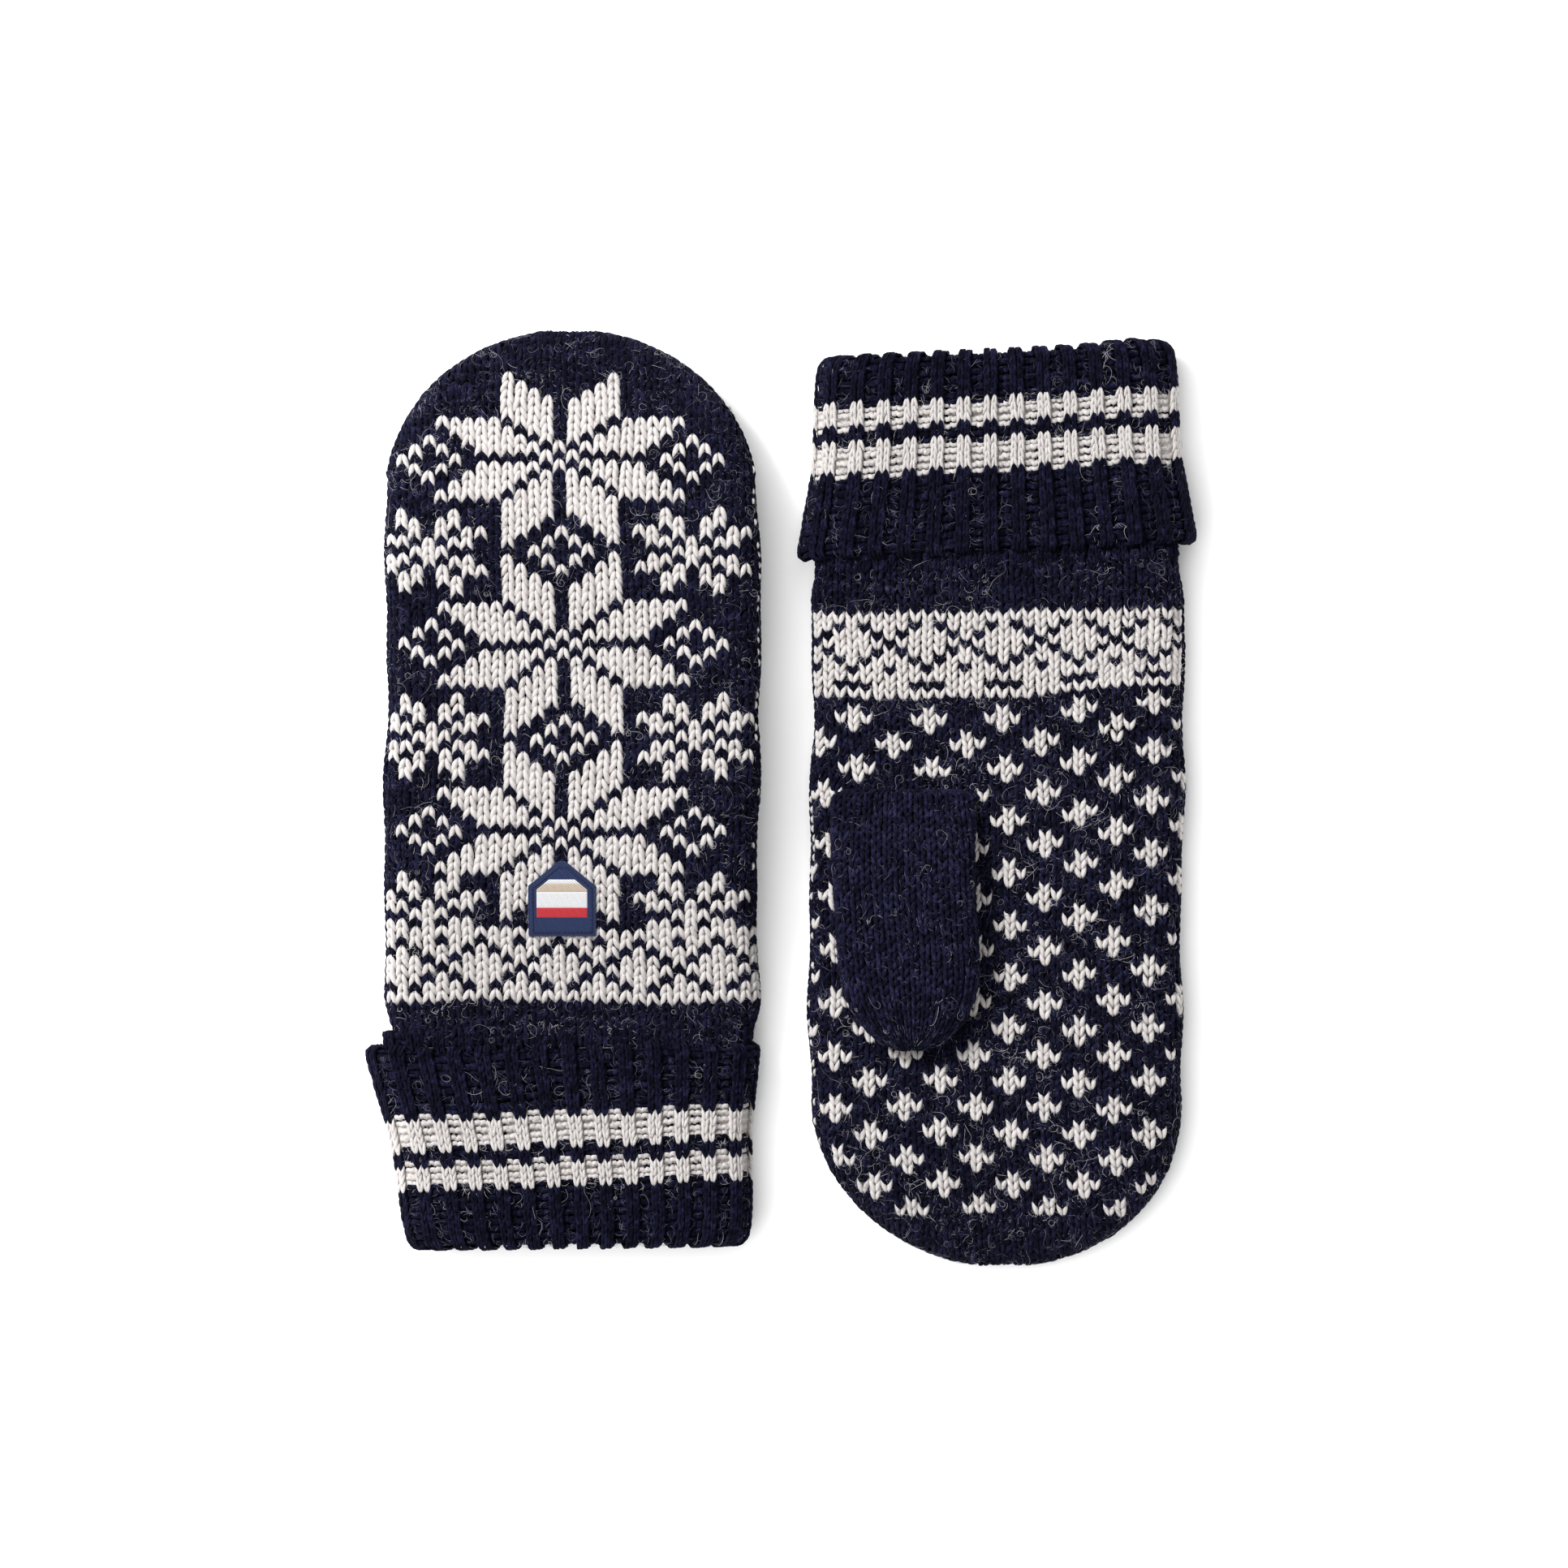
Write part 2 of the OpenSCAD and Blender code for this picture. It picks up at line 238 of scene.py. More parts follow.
def hand_surface(side, face):
    """The back (face 1) or the palm (face -1) of a hand, wrapped a little way past its edges."""
    v = np.linspace(SLEEVE_END - 3, LENGTH - 0.15, 1500)
    arc = run_length(v, mid_w(side, v) + face * hand_b(side, v))
    t = np.arange(0, arc[-1], 0.7)
    vs = np.interp(t, arc, v)
    s = np.arange(-74, 74.01, 0.5)
    points, edge = [], []
    for q in vs:
        x, z = section(float(hand_a(side, q)), float(hand_b(side, q)), HAND_POWER)
        length = run_length(x, z)
        half = length[len(x) // 2]
        edge.append(half)
        reach = np.minimum(np.abs(s), half + 5)
        xs, zs = np.interp(reach, length, x) * np.sign(s), np.interp(reach, length, z)
        c = float(hand_centre(side, q))
        points.append(np.stack([xs + c, np.full_like(xs, q), float(mid_w(side, q)) + face * zs], axis=1))
    made = Surface(s, t, np.array(points), np.array(edge), flip=face < 0)
    made.v = vs
    return made


def tube_surface(rows, power, along, reference):
    """A closed tube through sections (v, centre u, middle w, half width, half thickness).

    Its s runs once round it, from 0 to reference."""
    points = []
    n = 720
    for v, c, w, a, b in rows:
        x, z = section(a, b, power, 181)
        x, z = np.concatenate([x, -x[-2::-1]]), np.concatenate([z, z[-2::-1]])
        length = run_length(x, z)
        q = np.linspace(0, length[-1], n + 1)
        u = np.interp(q, length, x) + c
        height = np.interp(q, length, z) + w
        points.append(np.stack([u, np.full(n + 1, v), height], axis=1))
    points = np.array(points)
    t = np.arange(0, along[-1], 0.5)
    grid = np.empty((len(t), n + 1, 3))
    for k in range(3):
        for j in range(n + 1):
            grid[:, j, k] = np.interp(t, along, points[:, j, k])
    s = np.linspace(0, reference, n + 1)
    return Surface(s, t, grid, period=reference)


# ---------------------------------------------------------------- meshes


def add_mesh(name, verts, faces, side, attribute=None):
    """An object from a vertex array in a mitten's own millimetres and lists of face index arrays."""
    verts = to_row(side, verts)
    faces = [np.asarray(f, np.int64) for f in faces if len(f)]
    if side == RIGHT:
        faces = [f[:, ::-1] for f in faces]
    mesh = bpy.data.meshes.new(name)
    mesh.vertices.add(len(verts))
    mesh.vertices.foreach_set("co", verts.astype(np.float32).ravel())
    loops = np.concatenate([f.ravel() for f in faces])
    totals = np.concatenate([np.full(len(f), f.shape[1]) for f in faces])
    mesh.loops.add(len(loops))
    mesh.loops.foreach_set("vertex_index", loops.astype(np.int32))
    mesh.polygons.add(len(totals))
    mesh.polygons.foreach_set("loop_start", np.concatenate([[0], np.cumsum(totals)[:-1]]).astype(np.int32))
    mesh.polygons.foreach_set("loop_total", totals.astype(np.int32))
    mesh.polygons.foreach_set("use_smooth", np.full(len(totals), True))
    if attribute is not None:
        layer = mesh.attributes.new("yarn", "FLOAT_VECTOR", "POINT")
        layer.data.foreach_set("vector", np.asarray(attribute, np.float32).ravel())
    mesh.update()
    mesh.validate()
    o = bpy.data.objects.new(name, mesh)
    bpy.context.scene.collection.objects.link(o)
    return o


def stitches(side, name, made):
    """An object from vertices, faces and marks, with the marks that the wool reads."""
    verts, faces, marks = made
    return add_mesh(f"{side}_{name}", verts, faces, side, attribute=marks)


def leg_template(path, radii, flat, sides=6):
    """A short tapered strand along path (s, t, out), flattened towards the fabric: vertices, faces, marks."""
    path = np.array(path, float)
    direction = unit(np.gradient(path, axis=0))
    across = unit(np.cross(direction, (0, 0, 1)))
    up = np.cross(across, direction)
    turn = 2 * np.pi * np.arange(sides) / sides
    verts, mark = [path[0]], [(0, 0, 0)]
    for k in range(1, len(path) - 1):
        for q in turn:
            verts.append(path[k] + radii[k] * (across[k] * np.cos(q) + up[k] * flat * np.sin(q)))
            mark.append((k / (len(path) - 1), np.cos(q), np.sin(q)))
    verts.append(path[-1])
    mark.append((1, 0, 0))
    rings = len(path) - 2
    quads, tris = [], []
    for j in range(sides):
        j2 = (j + 1) % sides
        tris.append((0, 1 + j2, 1 + j))
        end = 1 + (rings - 1) * sides
        tris.append((len(verts) - 1, end + j, end + j2))
        for k in range(rings - 1):
            a = 1 + k * sides
            quads.append((a + j, a + j2, a + sides + j2, a + sides + j))
    return np.array(verts), np.array(quads), np.array(tris), np.array(mark)


def stitch_template(width, row, apex=1, fat=0.21, rings=4, sides=6, spread=0.42):
    """Both legs of a knit stitch whose apex points along +t (apex 1) or -t (apex -1).

    The legs touch at the apex, open outwards and end as points beside the next stitch's legs."""
    q = np.linspace(0, 1, rings + 2)
    s = width * (0.05 + spread * q)
    t = apex * row * (0.86 - 1.9 * q)
    out = width * (0.28 * np.sin(np.pi * (0.2 + 0.7 * q)) - 0.2 * q)
    radii = width * fat * (0.1 + 0.93 * np.sin(np.pi * (0.1 + 0.8 * q)))
    legs = [leg_template(np.stack([way * s, t, out], 1), radii, 0.85, sides) for way in (1, -1)]
    verts, (quads, tris), mark = joined([(v, (quad, tri), m) for v, quad, tri, m in legs])
    return verts, quads, tris, mark


def purl_template(width, row, fat=0.56, arch=0.26):
    """A purl bump: a short arc of yarn lying across the fabric."""
    q = np.linspace(0, 1, 6)
    s = width * 1.45 * (q - 0.5)
    t = row * arch * (np.cos(np.pi * (q - 0.5)) - 0.4)
    out = 0.30 * width * np.sin(np.pi * q)
    radii = row * fat * (0.55 + 0.45 * np.sin(np.pi * (0.1 + 0.8 * q)))
    return leg_template(np.stack([s, t, out], 1), radii, 0.9, 5)


def copied(quads, tris, count, size):
    """Face lists for a number of copies of a small mesh with size vertices."""
    shift = (np.arange(count) * size)[:, None, None]
    return [(quads[None] + shift).reshape(-1, 4), (tris[None] + shift).reshape(-1, 3)]


def scatter(surface, template, s, t, out=0.0, size=1.0):
    """Copies of a template laid a little unevenly on a surface at each s, t: vertices, faces and marks."""
    verts, quads, tris, mark = template
    n, m = len(s), len(verts)
    if n == 0:
        return np.zeros((0, 3)), [quads[:0], tris[:0]], np.zeros((0, 3))
    turn = rng.normal(0, 0.075, n)[:, None]
    scale = np.reshape(size, (-1, 1)) * rng.normal(1, 0.05, n)[:, None]
    x = verts[None, :, 0] * scale
    y = verts[None, :, 1] * rng.normal(1, 0.05, n)[:, None]
    s2 = s[:, None] + x * np.cos(turn) - y * np.sin(turn) + rng.normal(0, 0.09, n)[:, None]
    t2 = t[:, None] + x * np.sin(turn) + y * np.cos(turn) + rng.normal(0, 0.12, n)[:, None]
    o2 = verts[None, :, 2] + np.reshape(out, (-1, 1)) + rng.normal(0, 0.06, n)[:, None]
    p = surface.at(s2, t2, o2).reshape(-1, 3)
    marks = np.tile(mark, (n, 1))
    marks[:, 0] += np.repeat(rng.integers(0, 400, n) * 2, m)
    return p, copied(quads, tris, n, m), marks


def joined(parts):
    """Several (vertices, [quads, tris], marks) as one."""
    verts, quads, tris, marks, base = [], [], [], [], 0
    for v, (q, t), m in parts:
        verts.append(v)
        quads.append(q + base)
        tris.append(t + base)
        marks.append(m)
        base += len(v)
    return np.concatenate(verts), [np.concatenate(quads), np.concatenate(tris)], np.concatenate(marks)


def grid_object(name, p, side, close=False):
    """A skin through a grid of points; close joins its last column to its first."""
    rows, cols = p.shape[:2]
    i, j = np.meshgrid(np.arange(rows - 1), np.arange(cols if close else cols - 1), indexing="ij")
    here, beside = i * cols + j, i * cols + (j + 1) % cols
    quads = np.stack([here, beside, beside + cols, here + cols], -1).reshape(-1, 4)
    return add_mesh(name, p.reshape(-1, 3), [quads], side)


# ---------------------------------------------------------------- the knitted patterns


def star(c, r):
    """A big eight-petalled star, nineteen stitches by nineteen rows."""
    a, b = abs(c), abs(r)
    if a + b == 1:
        return True
    return (1 <= a <= 4 and a < b <= a + 5) or (1 <= b <= 4 and b < a <= b + 5)


def flake(c, r):
    """A small snow crystal, nine by nine."""
    a, b = abs(c), abs(r)
    if a + b <= 1:
        return True
    return (a, b) in ((1, 2), (1, 3), (2, 3), (2, 4), (2, 1), (3, 1), (3, 2), (4, 2))


def diamond(c, r):
    return abs(c) + abs(r) == 2


# stitches in one repeat of the small patterns, and rows in the band at the wrist
REPEAT = 6
BORDER_ROWS = 8


def off_repeat(k):
    """How far k is from the nearest multiple of the repeat."""
    return abs((k + REPEAT // 2) % REPEAT - REPEAT // 2)


def border(c, r):
    """Eight rows of solid diamonds between zigzag lines, repeating every six stitches."""
    k = off_repeat(c)
    return not ((k, r) in ((1, 1), (2, 2), (3, 3), (2, 4), (1, 5), (0, 6), (3, 6)))


def back_chart(c, r):
    if r < 0:
        return False
    if r < BORDER_ROWS:
        return border(c, r)
    for centre in (18, 38, 58):
        if star(c, r - centre) or (centre < 58 and diamond(c, r - centre - 10)):
            return True
        if diamond(abs(c) - 10, r - centre):
            return True
    for centre in (9, 28, 48):
        if flake(abs(c) - 10, r - centre):
            return True
    return False


def palm_chart(c, r):
    if r < 0:
        return False
    if r < BORDER_ROWS:
        return border(c, r)
    if r == BORDER_ROWS:
        return off_repeat(c) > 1
    if r == BORDER_ROWS + 1:
        return True
    if r < BORDER_ROWS + 3:
        return False
    return any(off_repeat(c - shift) + off_repeat(r - shift) <= 1 for shift in (0, REPEAT // 2))


# ---------------------------------------------------------------- materials


def material(name, build):
    m = bpy.data.materials.new(name)
    m.use_nodes = True
    nt = m.node_tree
    nt.nodes.clear()
    out = nt.nodes.new("ShaderNodeOutputMaterial")
    shader = nt.nodes.new("ShaderNodeBsdfPrincipled")
    nt.links.new(shader.outputs[0], out.inputs[0])
    build(nt, shader)
    return m


def noise(nt, coords, scale, detail=3.0, rough=0.6):
    n = nt.nodes.new("ShaderNodeTexNoise")
    n.inputs["Scale"].default_value = scale
    n.inputs["Detail"].default_value = detail
    n.inputs["Roughness"].default_value = rough
    nt.links.new(coords, n.inputs["Vector"])
    return n.outputs["Fac"]


def ramp(nt, value, stops):
    r = nt.nodes.new("ShaderNodeValToRGB")
    elements = r.color_ramp.elements
    (elements[0].position, low), (elements[1].position, high) = stops[0], stops[-1]
    elements[0].color, elements[1].color = (*low, 1), (*high, 1)
    for pos, col in stops[1:-1]:
        elements.new(pos).color = (*col, 1)
    nt.links.new(value, r.inputs["Fac"])
    return r.outputs["Color"]


def mix(nt, a, b, fac):
    m = nt.nodes.new("ShaderNodeMix")
    m.data_type = "RGBA"
    if isinstance(fac, float):
        m.inputs["Factor"].default_value = fac
    else:
        nt.links.new(fac, m.inputs["Factor"])
    for sock, val in ((m.inputs["A"], a), (m.inputs["B"], b)):
        if isinstance(val, tuple):
            sock.default_value = (*val, 1)
        else:
            nt.links.new(val, sock)
    return m.outputs["Result"]


def bump(nt, height, strength, distance, shader):
    b = nt.nodes.new("ShaderNodeBump")
    b.inputs["Strength"].default_value = strength
    b.inputs["Distance"].default_value = distance
    nt.links.new(height, b.inputs["Height"])
    nt.links.new(b.outputs["Normal"], shader.inputs["Normal"])


def object_coords(nt):
    return nt.nodes.new("ShaderNodeTexCoord").outputs["Object"]


def look(nt, shader, colour, roughness, specular=0.5, sheen=0.0, sheen_roughness=0.5):
    nt.links.new(colour, shader.inputs["Base Color"])
    shader.inputs["Roughness"].default_value = roughness
    shader.inputs["Specular IOR Level"].default_value = specular
    shader.inputs["Sheen Weight"].default_value = sheen
    shader.inputs["Sheen Roughness"].default_value = sheen_roughness


def value(nt, operation, *inputs):
    m = nt.nodes.new("ShaderNodeMath")
    m.operation = operation
    for sock, v in zip(m.inputs, inputs):
        if isinstance(v, (int, float)):
            sock.default_value = v
        else:
            nt.links.new(v, sock)
    return m.outputs[0]


def yarn_coords(nt):
    """Where a point is on its yarn: along and round it, turned so that features run in a slow twist."""
    mark = nt.nodes.new("ShaderNodeAttribute")
    mark.attribute_name = "yarn"
    split = nt.nodes.new("ShaderNodeSeparateXYZ")
    nt.links.new(mark.outputs["Vector"], split.inputs[0])
    along, c, d = split.outputs
    times = functools.partial(value, nt, "MULTIPLY")
    turn = times(along, 2 * math.pi * 0.35)
    cos, sin = value(nt, "COSINE", turn), value(nt, "SINE", turn)
    y = value(nt, "SUBTRACT", times(c, cos), times(d, sin))
    z = value(nt, "ADD", times(c, sin), times(d, cos))
    join = nt.nodes.new("ShaderNodeCombineXYZ")
    for sock, v in zip(join.inputs, (times(along, 0.45), y, z)):
        nt.links.new(v, sock)
    stitch = value(nt, "FLOOR", times(along, 0.5))
    tone = nt.nodes.new("ShaderNodeTexWhiteNoise")
    tone.noise_dimensions = "1D"
    nt.links.new(stitch, tone.inputs["W"])
    return join.outputs[0], tone.outputs["Value"]


def wool(dark, base, light, fleck_and_highlight, fleck_and_highlight_share, sheen):
    """Carded wool yarn: heathered colour, fibres running along it and a soft matt surface."""

    def build(nt, sh):
        co = object_coords(nt)
        on_yarn, tone = yarn_coords(nt)
        strands = noise(nt, on_yarn, 5.5, 3, 0.6)
        fine = noise(nt, co, 1500, 4, 0.7)
        heather = noise(nt, co, 620, 3, 0.65)
        hairs = noise(nt, on_yarn, 16, 3, 0.6)
        mottle = mix(nt, mix(nt, heather, strands, 0.5), tone, 0.08)
        colour = ramp(nt, mottle, [(0.34, dark), (0.5, base), (0.64, light)])
        # pale flecks mixed in: light fibres, and on the navy wools painted highlights as well
        first = 1 - fleck_and_highlight_share
        last = min(1.0, first + 0.09)
        spots = ramp(nt, mix(nt, fine, hairs, 0.35), [(first, (0, 0, 0)), (last, (1, 1, 1))])
        colour = mix(nt, colour, fleck_and_highlight, spots)
        look(nt, sh, colour, 0.95, 0.05, sheen, 0.6)
        bump(nt, mix(nt, mix(nt, fine, hairs, 0.5), strands, 0.4), 0.85, 0.00045, sh)

    return build


# each wool's dark, base and light tones, its flecks and their share, and its sheen; on the navy wools the
# flecks are partly pale fibres and partly painted highlights
navy = material("navy_wool", wool(
    (0.0005, 0.0005, 0.0022), (0.0046, 0.0045, 0.0165), (0.026, 0.026, 0.078), (0.21, 0.21, 0.33), 0.37, 0.015
))
# a lighter copy of the navy wool for the thumb: painted light
navy_thumb_painted_light = material("navy_wool_thumb_painted_light", wool(
    (0.0006, 0.0006, 0.0026), (0.0066, 0.0065, 0.0225), (0.038, 0.038, 0.106), (0.24, 0.24, 0.37), 0.37, 0.015
))
cream = material("cream_wool", wool(
    (0.67, 0.625, 0.60), (0.83, 0.785, 0.765), (0.91, 0.875, 0.86), (0.95, 0.93, 0.92), 0.3, 0.1
))
# darker navy under the stitches, in the rib's valleys and under the thumb's knit: painted shade in the gaps
# between stitches
navy_painted_shade = material("navy_wool_painted_shade", wool(
    (0.0010, 0.0010, 0.003), (0.0028, 0.0029, 0.008), (0.006, 0.0065, 0.016), (0.04, 0.04, 0.06), 0.30, 0.02
))
# darker cream under the cuff stripes' stitches: painted shade in the gaps between them
cream_painted_shade = material("cream_wool_painted_shade", wool(
    (0.62, 0.57, 0.54), (0.78, 0.73, 0.70), (0.86, 0.82, 0.79), (0.92, 0.90, 0.88), 0.3, 0.05
))


def fleece_build(nt, sh):
    co = object_coords(nt)
    clumps = noise(nt, co, 420, 4, 0.7)
    fine = noise(nt, co, 2400, 3, 0.7)
    colour = ramp(nt, clumps, [(0.3, (0.03, 0.034, 0.05)), (0.7, (0.12, 0.13, 0.17))])
    look(nt, sh, colour, 1.0, sheen=0.4)
    bump(nt, mix(nt, clumps, fine, 0.4), 0.9, 0.001, sh)


fleece = material("fleece", fleece_build)


def hair_build(colour_a, colour_b):
    def build(nt, sh):
        co = object_coords(nt)
        colour = ramp(nt, noise(nt, co, 90, 2, 0.5), [(0.35, colour_a), (0.65, colour_b)])
        look(nt, sh, colour, 0.6, 0.3)

    return build


pale_hair = material("pale_fibres", hair_build((0.12, 0.12, 0.18), (0.68, 0.66, 0.68)))
# navy fuzz: navy fibres whose pale grey end is a painted sheen of fibres catching light
navy_hair_and_sheen = material("navy_fibres_and_painted_sheen", hair_build((0.022, 0.022, 0.062), (0.36, 0.36, 0.46)))
cream_hair = material("cream_fibres", hair_build((0.80, 0.76, 0.73), (0.90, 0.87, 0.85)))
thread_mat = material("sewing_thread", hair_build((0.012, 0.016, 0.05), (0.03, 0.04, 0.11)))


def put(o, mat, body, replaces=()):
    """Give an object its material, the body it rides on and the CAD nodes it stands for."""
    o.data.materials.append(mat)
    if body:
        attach(o, body)
    if replaces:
        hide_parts(*replaces)
    return o


# ---------------------------------------------------------------- the hands


HALF_COLUMNS = 24


def hand_cells(surface, wale, row, t_first, centre, margin, drawn):
    """Column and row numbers and places of a panel's stitches inside its edges."""
    t_end = surface.t[-1]
    rows = np.arange(int(-(t_first - surface.t[0]) / row), int((t_end - t_first) / row) + 1)
    cols = np.arange(-HALF_COLUMNS, HALF_COLUMNS + 1)
    c, r = np.meshgrid(cols, rows)
    c, r = c.ravel(), r.ravel()
    s, t = c * wale + centre, t_first + r * row
    s, t = drawn(s, t)
    keep = (np.abs(s) < surface.edge_at(t) - margin) & (t < t_end) & (t > surface.t[0])
    return c[keep], r[keep], s[keep], t[keep]


def t_of_v(surface, v):
    return float(np.interp(v, surface.v, surface.t))


surfaces, pale_spots, navy_spots = {}, {}, {}
# where the patterned band starts; a stitch's width and height on the back (1) and the palm (-1)
BAND_V = {LEFT: 69.6, RIGHT: 73.8}
GAUGE = {1: (3.69, 2.616), -1: (3.36, 2.385)}
LAST_ROW = {1: 70, -1: 69}
CHART_CENTRE = {(LEFT, 1): -2.7, (RIGHT, 1): 0.9, (LEFT, -1): 0.0, (RIGHT, -1): 0.1}
# rows past this one keep their cream clear of the closed-up stitches at the fingertip's edge
TIP_ROW = 50
FLOATS_IN = 0.3


def side_phase(side):
    return 0.6 if side == LEFT else 2.9


def drawn(side, face, surface, s, t):
    """How far worn fabric has crept from its even grid at s, t."""
    v = np.interp(t, surface.t, surface.v)
    ds = 0.35 * np.sin(v / 19.0 + side_phase(side)) + 0.25 * np.sin(v / 7.3 + s / 9.0)
    dt = 0.4 * np.sin(s / 13.0 + v / 31.0 + side_phase(side)) + 0.25 * np.sin(s / 5.5 + v / 11.0)
    if side == RIGHT and face < 0:
        pulled = smooth((v - 72) / 45) * (1 - smooth((v - 140) / 55))
        dt = dt - 5.2 * smooth((-s - 2) / 42) * pulled
        dt = dt - 1.2 * smooth(-s / 48) * (v < 110)
        dt = dt + 2.2 * smooth((v - 130) / 100)
        relaxed = smooth((v - 90) / 75)
        ds = ds - 1.6 - 2.3 * relaxed + s * (0.05 - 0.08 * relaxed)
    return s + ds, t + dt


def pale_cells(side, face, surface, cells):
    """Which stitches of a panel are cream."""
    c, r, s, t = cells
    chart = back_chart if face == 1 else palm_chart
    pale = np.array([chart(int(a), int(b)) and b <= LAST_ROW[face] for a, b in zip(c, r)])
    pale &= (r < TIP_ROW) | (np.abs(s) < surface.edge_at(t) - 1.6 * GAUGE[face][0])
    if side == RIGHT and face < 0:
        beside = np.abs(s - THUMB_U) > THUMB_A - 2
        before = t < t_of_v(surface, THUMB_START - 5)
        after = t > t_of_v(surface, THUMB_START + 10)
        pale &= beside | before | after
    return pale


for side in (LEFT, RIGHT):
    for face, word in ((1, "back"), (-1, "palm")):
        sf = hand_surface(side, face)
        surfaces[side, face] = sf
        wale, row = GAUGE[face]
        creep = functools.partial(drawn, side, face, sf)
        t_first = t_of_v(sf, BAND_V[side])
        cells = hand_cells(sf, wale, row, t_first, CHART_CENTRE[side, face], 0.4 * wale, creep)
        s, t = cells[2:]
        pale = pale_cells(side, face, sf, cells)
        body = side + "_hand"
        template = stitch_template(wale, row)
        navy_spots[side, face], pale_spots[side, face] = (s[~pale], t[~pale]), (s[pale], t[pale])
        made = scatter(sf, template, *navy_spots[side, face])
        nodes = (f"{side}_{word}_panel",)
        put(stitches(side, f"{word}_navy_stitches", made), navy, body, nodes)
        made = scatter(sf, template, *pale_spots[side, face], 0.05)
        put(stitches(side, f"{word}_cream_stitches", made), cream, body)
        # a skin of darker navy under the stitches: painted shade seen through the gaps between them
        reach = np.linspace(-1, 1, 90)
        ts = np.linspace(sf.t[0], sf.t[-1], 150)
        ss = reach[None, :] * (sf.edge_at(ts)[:, None] + 0.3)
        tt = np.repeat(ts[:, None], 90, 1)
        skin = grid_object(f"{side}_{word}_floats", sf.at(ss, tt, -FLOATS_IN), side)
        put(skin, navy_painted_shade, body)

# ---------------------------------------------------------------- cuffs

RIB = 7.6
KNIT_W, PURL_W = 2.1, 1.8
# places of the two knit and the two purl columns inside one rib, as shares of the rib
RIB_KNIT = (0.10, 0.36)
RIB_PURL = (0.61, 0.85)


RIBS = 29
SLEEVE_ROW = 2.15
SLEEVE_ROWS = 33
# rows of the turned-up cuff between its fold and its edge, and those folded in under the lip
TURNUP_ROWS = 26
FOLDED_ROWS = 3
# where the cream stripes start, and each one's first row and the row after its last, counted from there
STRIPE_START = {LEFT: 8, RIGHT: 6}
STRIPES = {"lower": (0, 3), "upper": (5, 9)}
# points along the turned-up loop: round the fold, along the outside and round the edge
LIP_POINTS, OUTSIDE_POINTS, EDGE_POINTS = 14, 22, 10


def cuff_centre(side, v):
    if side == LEFT:
        return 1.2 - 4.6 * (np.clip(v, 0, CUFF_L) / CUFF_L) ** 1.4
    return -1.6 - 0.4 * np.clip(v, 0, CUFF_L) / CUFF_L


def cuff_wide(side, v):
    extra = 1.4 * (1 - v / CUFF_L) - 0.6 if side == RIGHT else -1.3
    return sleeve_a(v) + extra


def cuff_slant(side, u, v):
    """The turned-up cuff sits a little askew: the thumb side of its stripes is further up the hand."""
    part = np.clip(v / CUFF_L, 0, 1)
    if side == LEFT:
        return u * (0.012 + 0.030 * np.sin(np.pi * part)) + 0.35 * np.sin(u / 6.1 + v / 14) * part
    corner = 0.9 * np.exp(-(((u + 38) / 9) ** 2)) * (1 - part)
    return u * 0.047 + 0.35 * np.sin(u / 7.3 + v / 12) * part - corner


def cuff_mid(side):
    return CUFF_MID if side == LEFT else PAIR_H - CUFF_MID


def arc_points(v0, d0, rv, rd, start, end, n):
    q = np.radians(np.linspace(start, end, n))
    return [(v0 + rv * math.cos(a), d0 + rd * math.sin(a)) for a in q]


def turnup_path():
    """The turned-up loop as (v, set-out) pairs: round the fold, along the outside and back inside."""
    lip = arc_points(2.6, 0.2, 2.6, 2.6, 262, 90, LIP_POINTS)
    straight = [(v, 2.8 + 0.35 * math.sin(v / 6.0)) for v in np.linspace(4, CUFF_L - 3, OUTSIDE_POINTS)]
    edge = arc_points(CUFF_L - 2.2, 1.75, 1.9, 1.35, 90, -90, EDGE_POINTS)
    inside = [(v, 0.45) for v in np.linspace(CUFF_L - 5, 3.2, 16)]
    return lip + straight + edge + inside


def tube_rows(side, path, wide):
    """Sections of a cuff's layers, set out from the sleeve by path; wide flares them towards the hand."""
    rows = []
    for v, d in path:
        flare = 2.4 * (max(v, 0) / CUFF_L) ** 4 if wide else 0.0
        a = float(cuff_wide(side, v)) + d + flare
        b = min(SLEEVE_B + d, CUFF_MID - 0.9)
        rows.append((v, float(cuff_centre(side, v)), cuff_mid(side), a, b))
    return rows


def slanted(side, surface):
    surface.p[..., 1] += cuff_slant(side, surface.p[..., 0], surface.p[..., 1])
    return surface


def rib_height(s, high, low):
    """How far the rib's ground stands out at s: high over the knit columns, low over the purl ones."""
    share = (s / RIB) % 1
    return low + (high - low) * np.exp(-(((share - 0.23) / 0.22) ** 4))


def side_edge(s, period):
    """1 where a flattened tube doubles over at its two sides, 0 on its faces."""
    return np.abs(np.sin(2 * np.pi * s / period)) ** 30


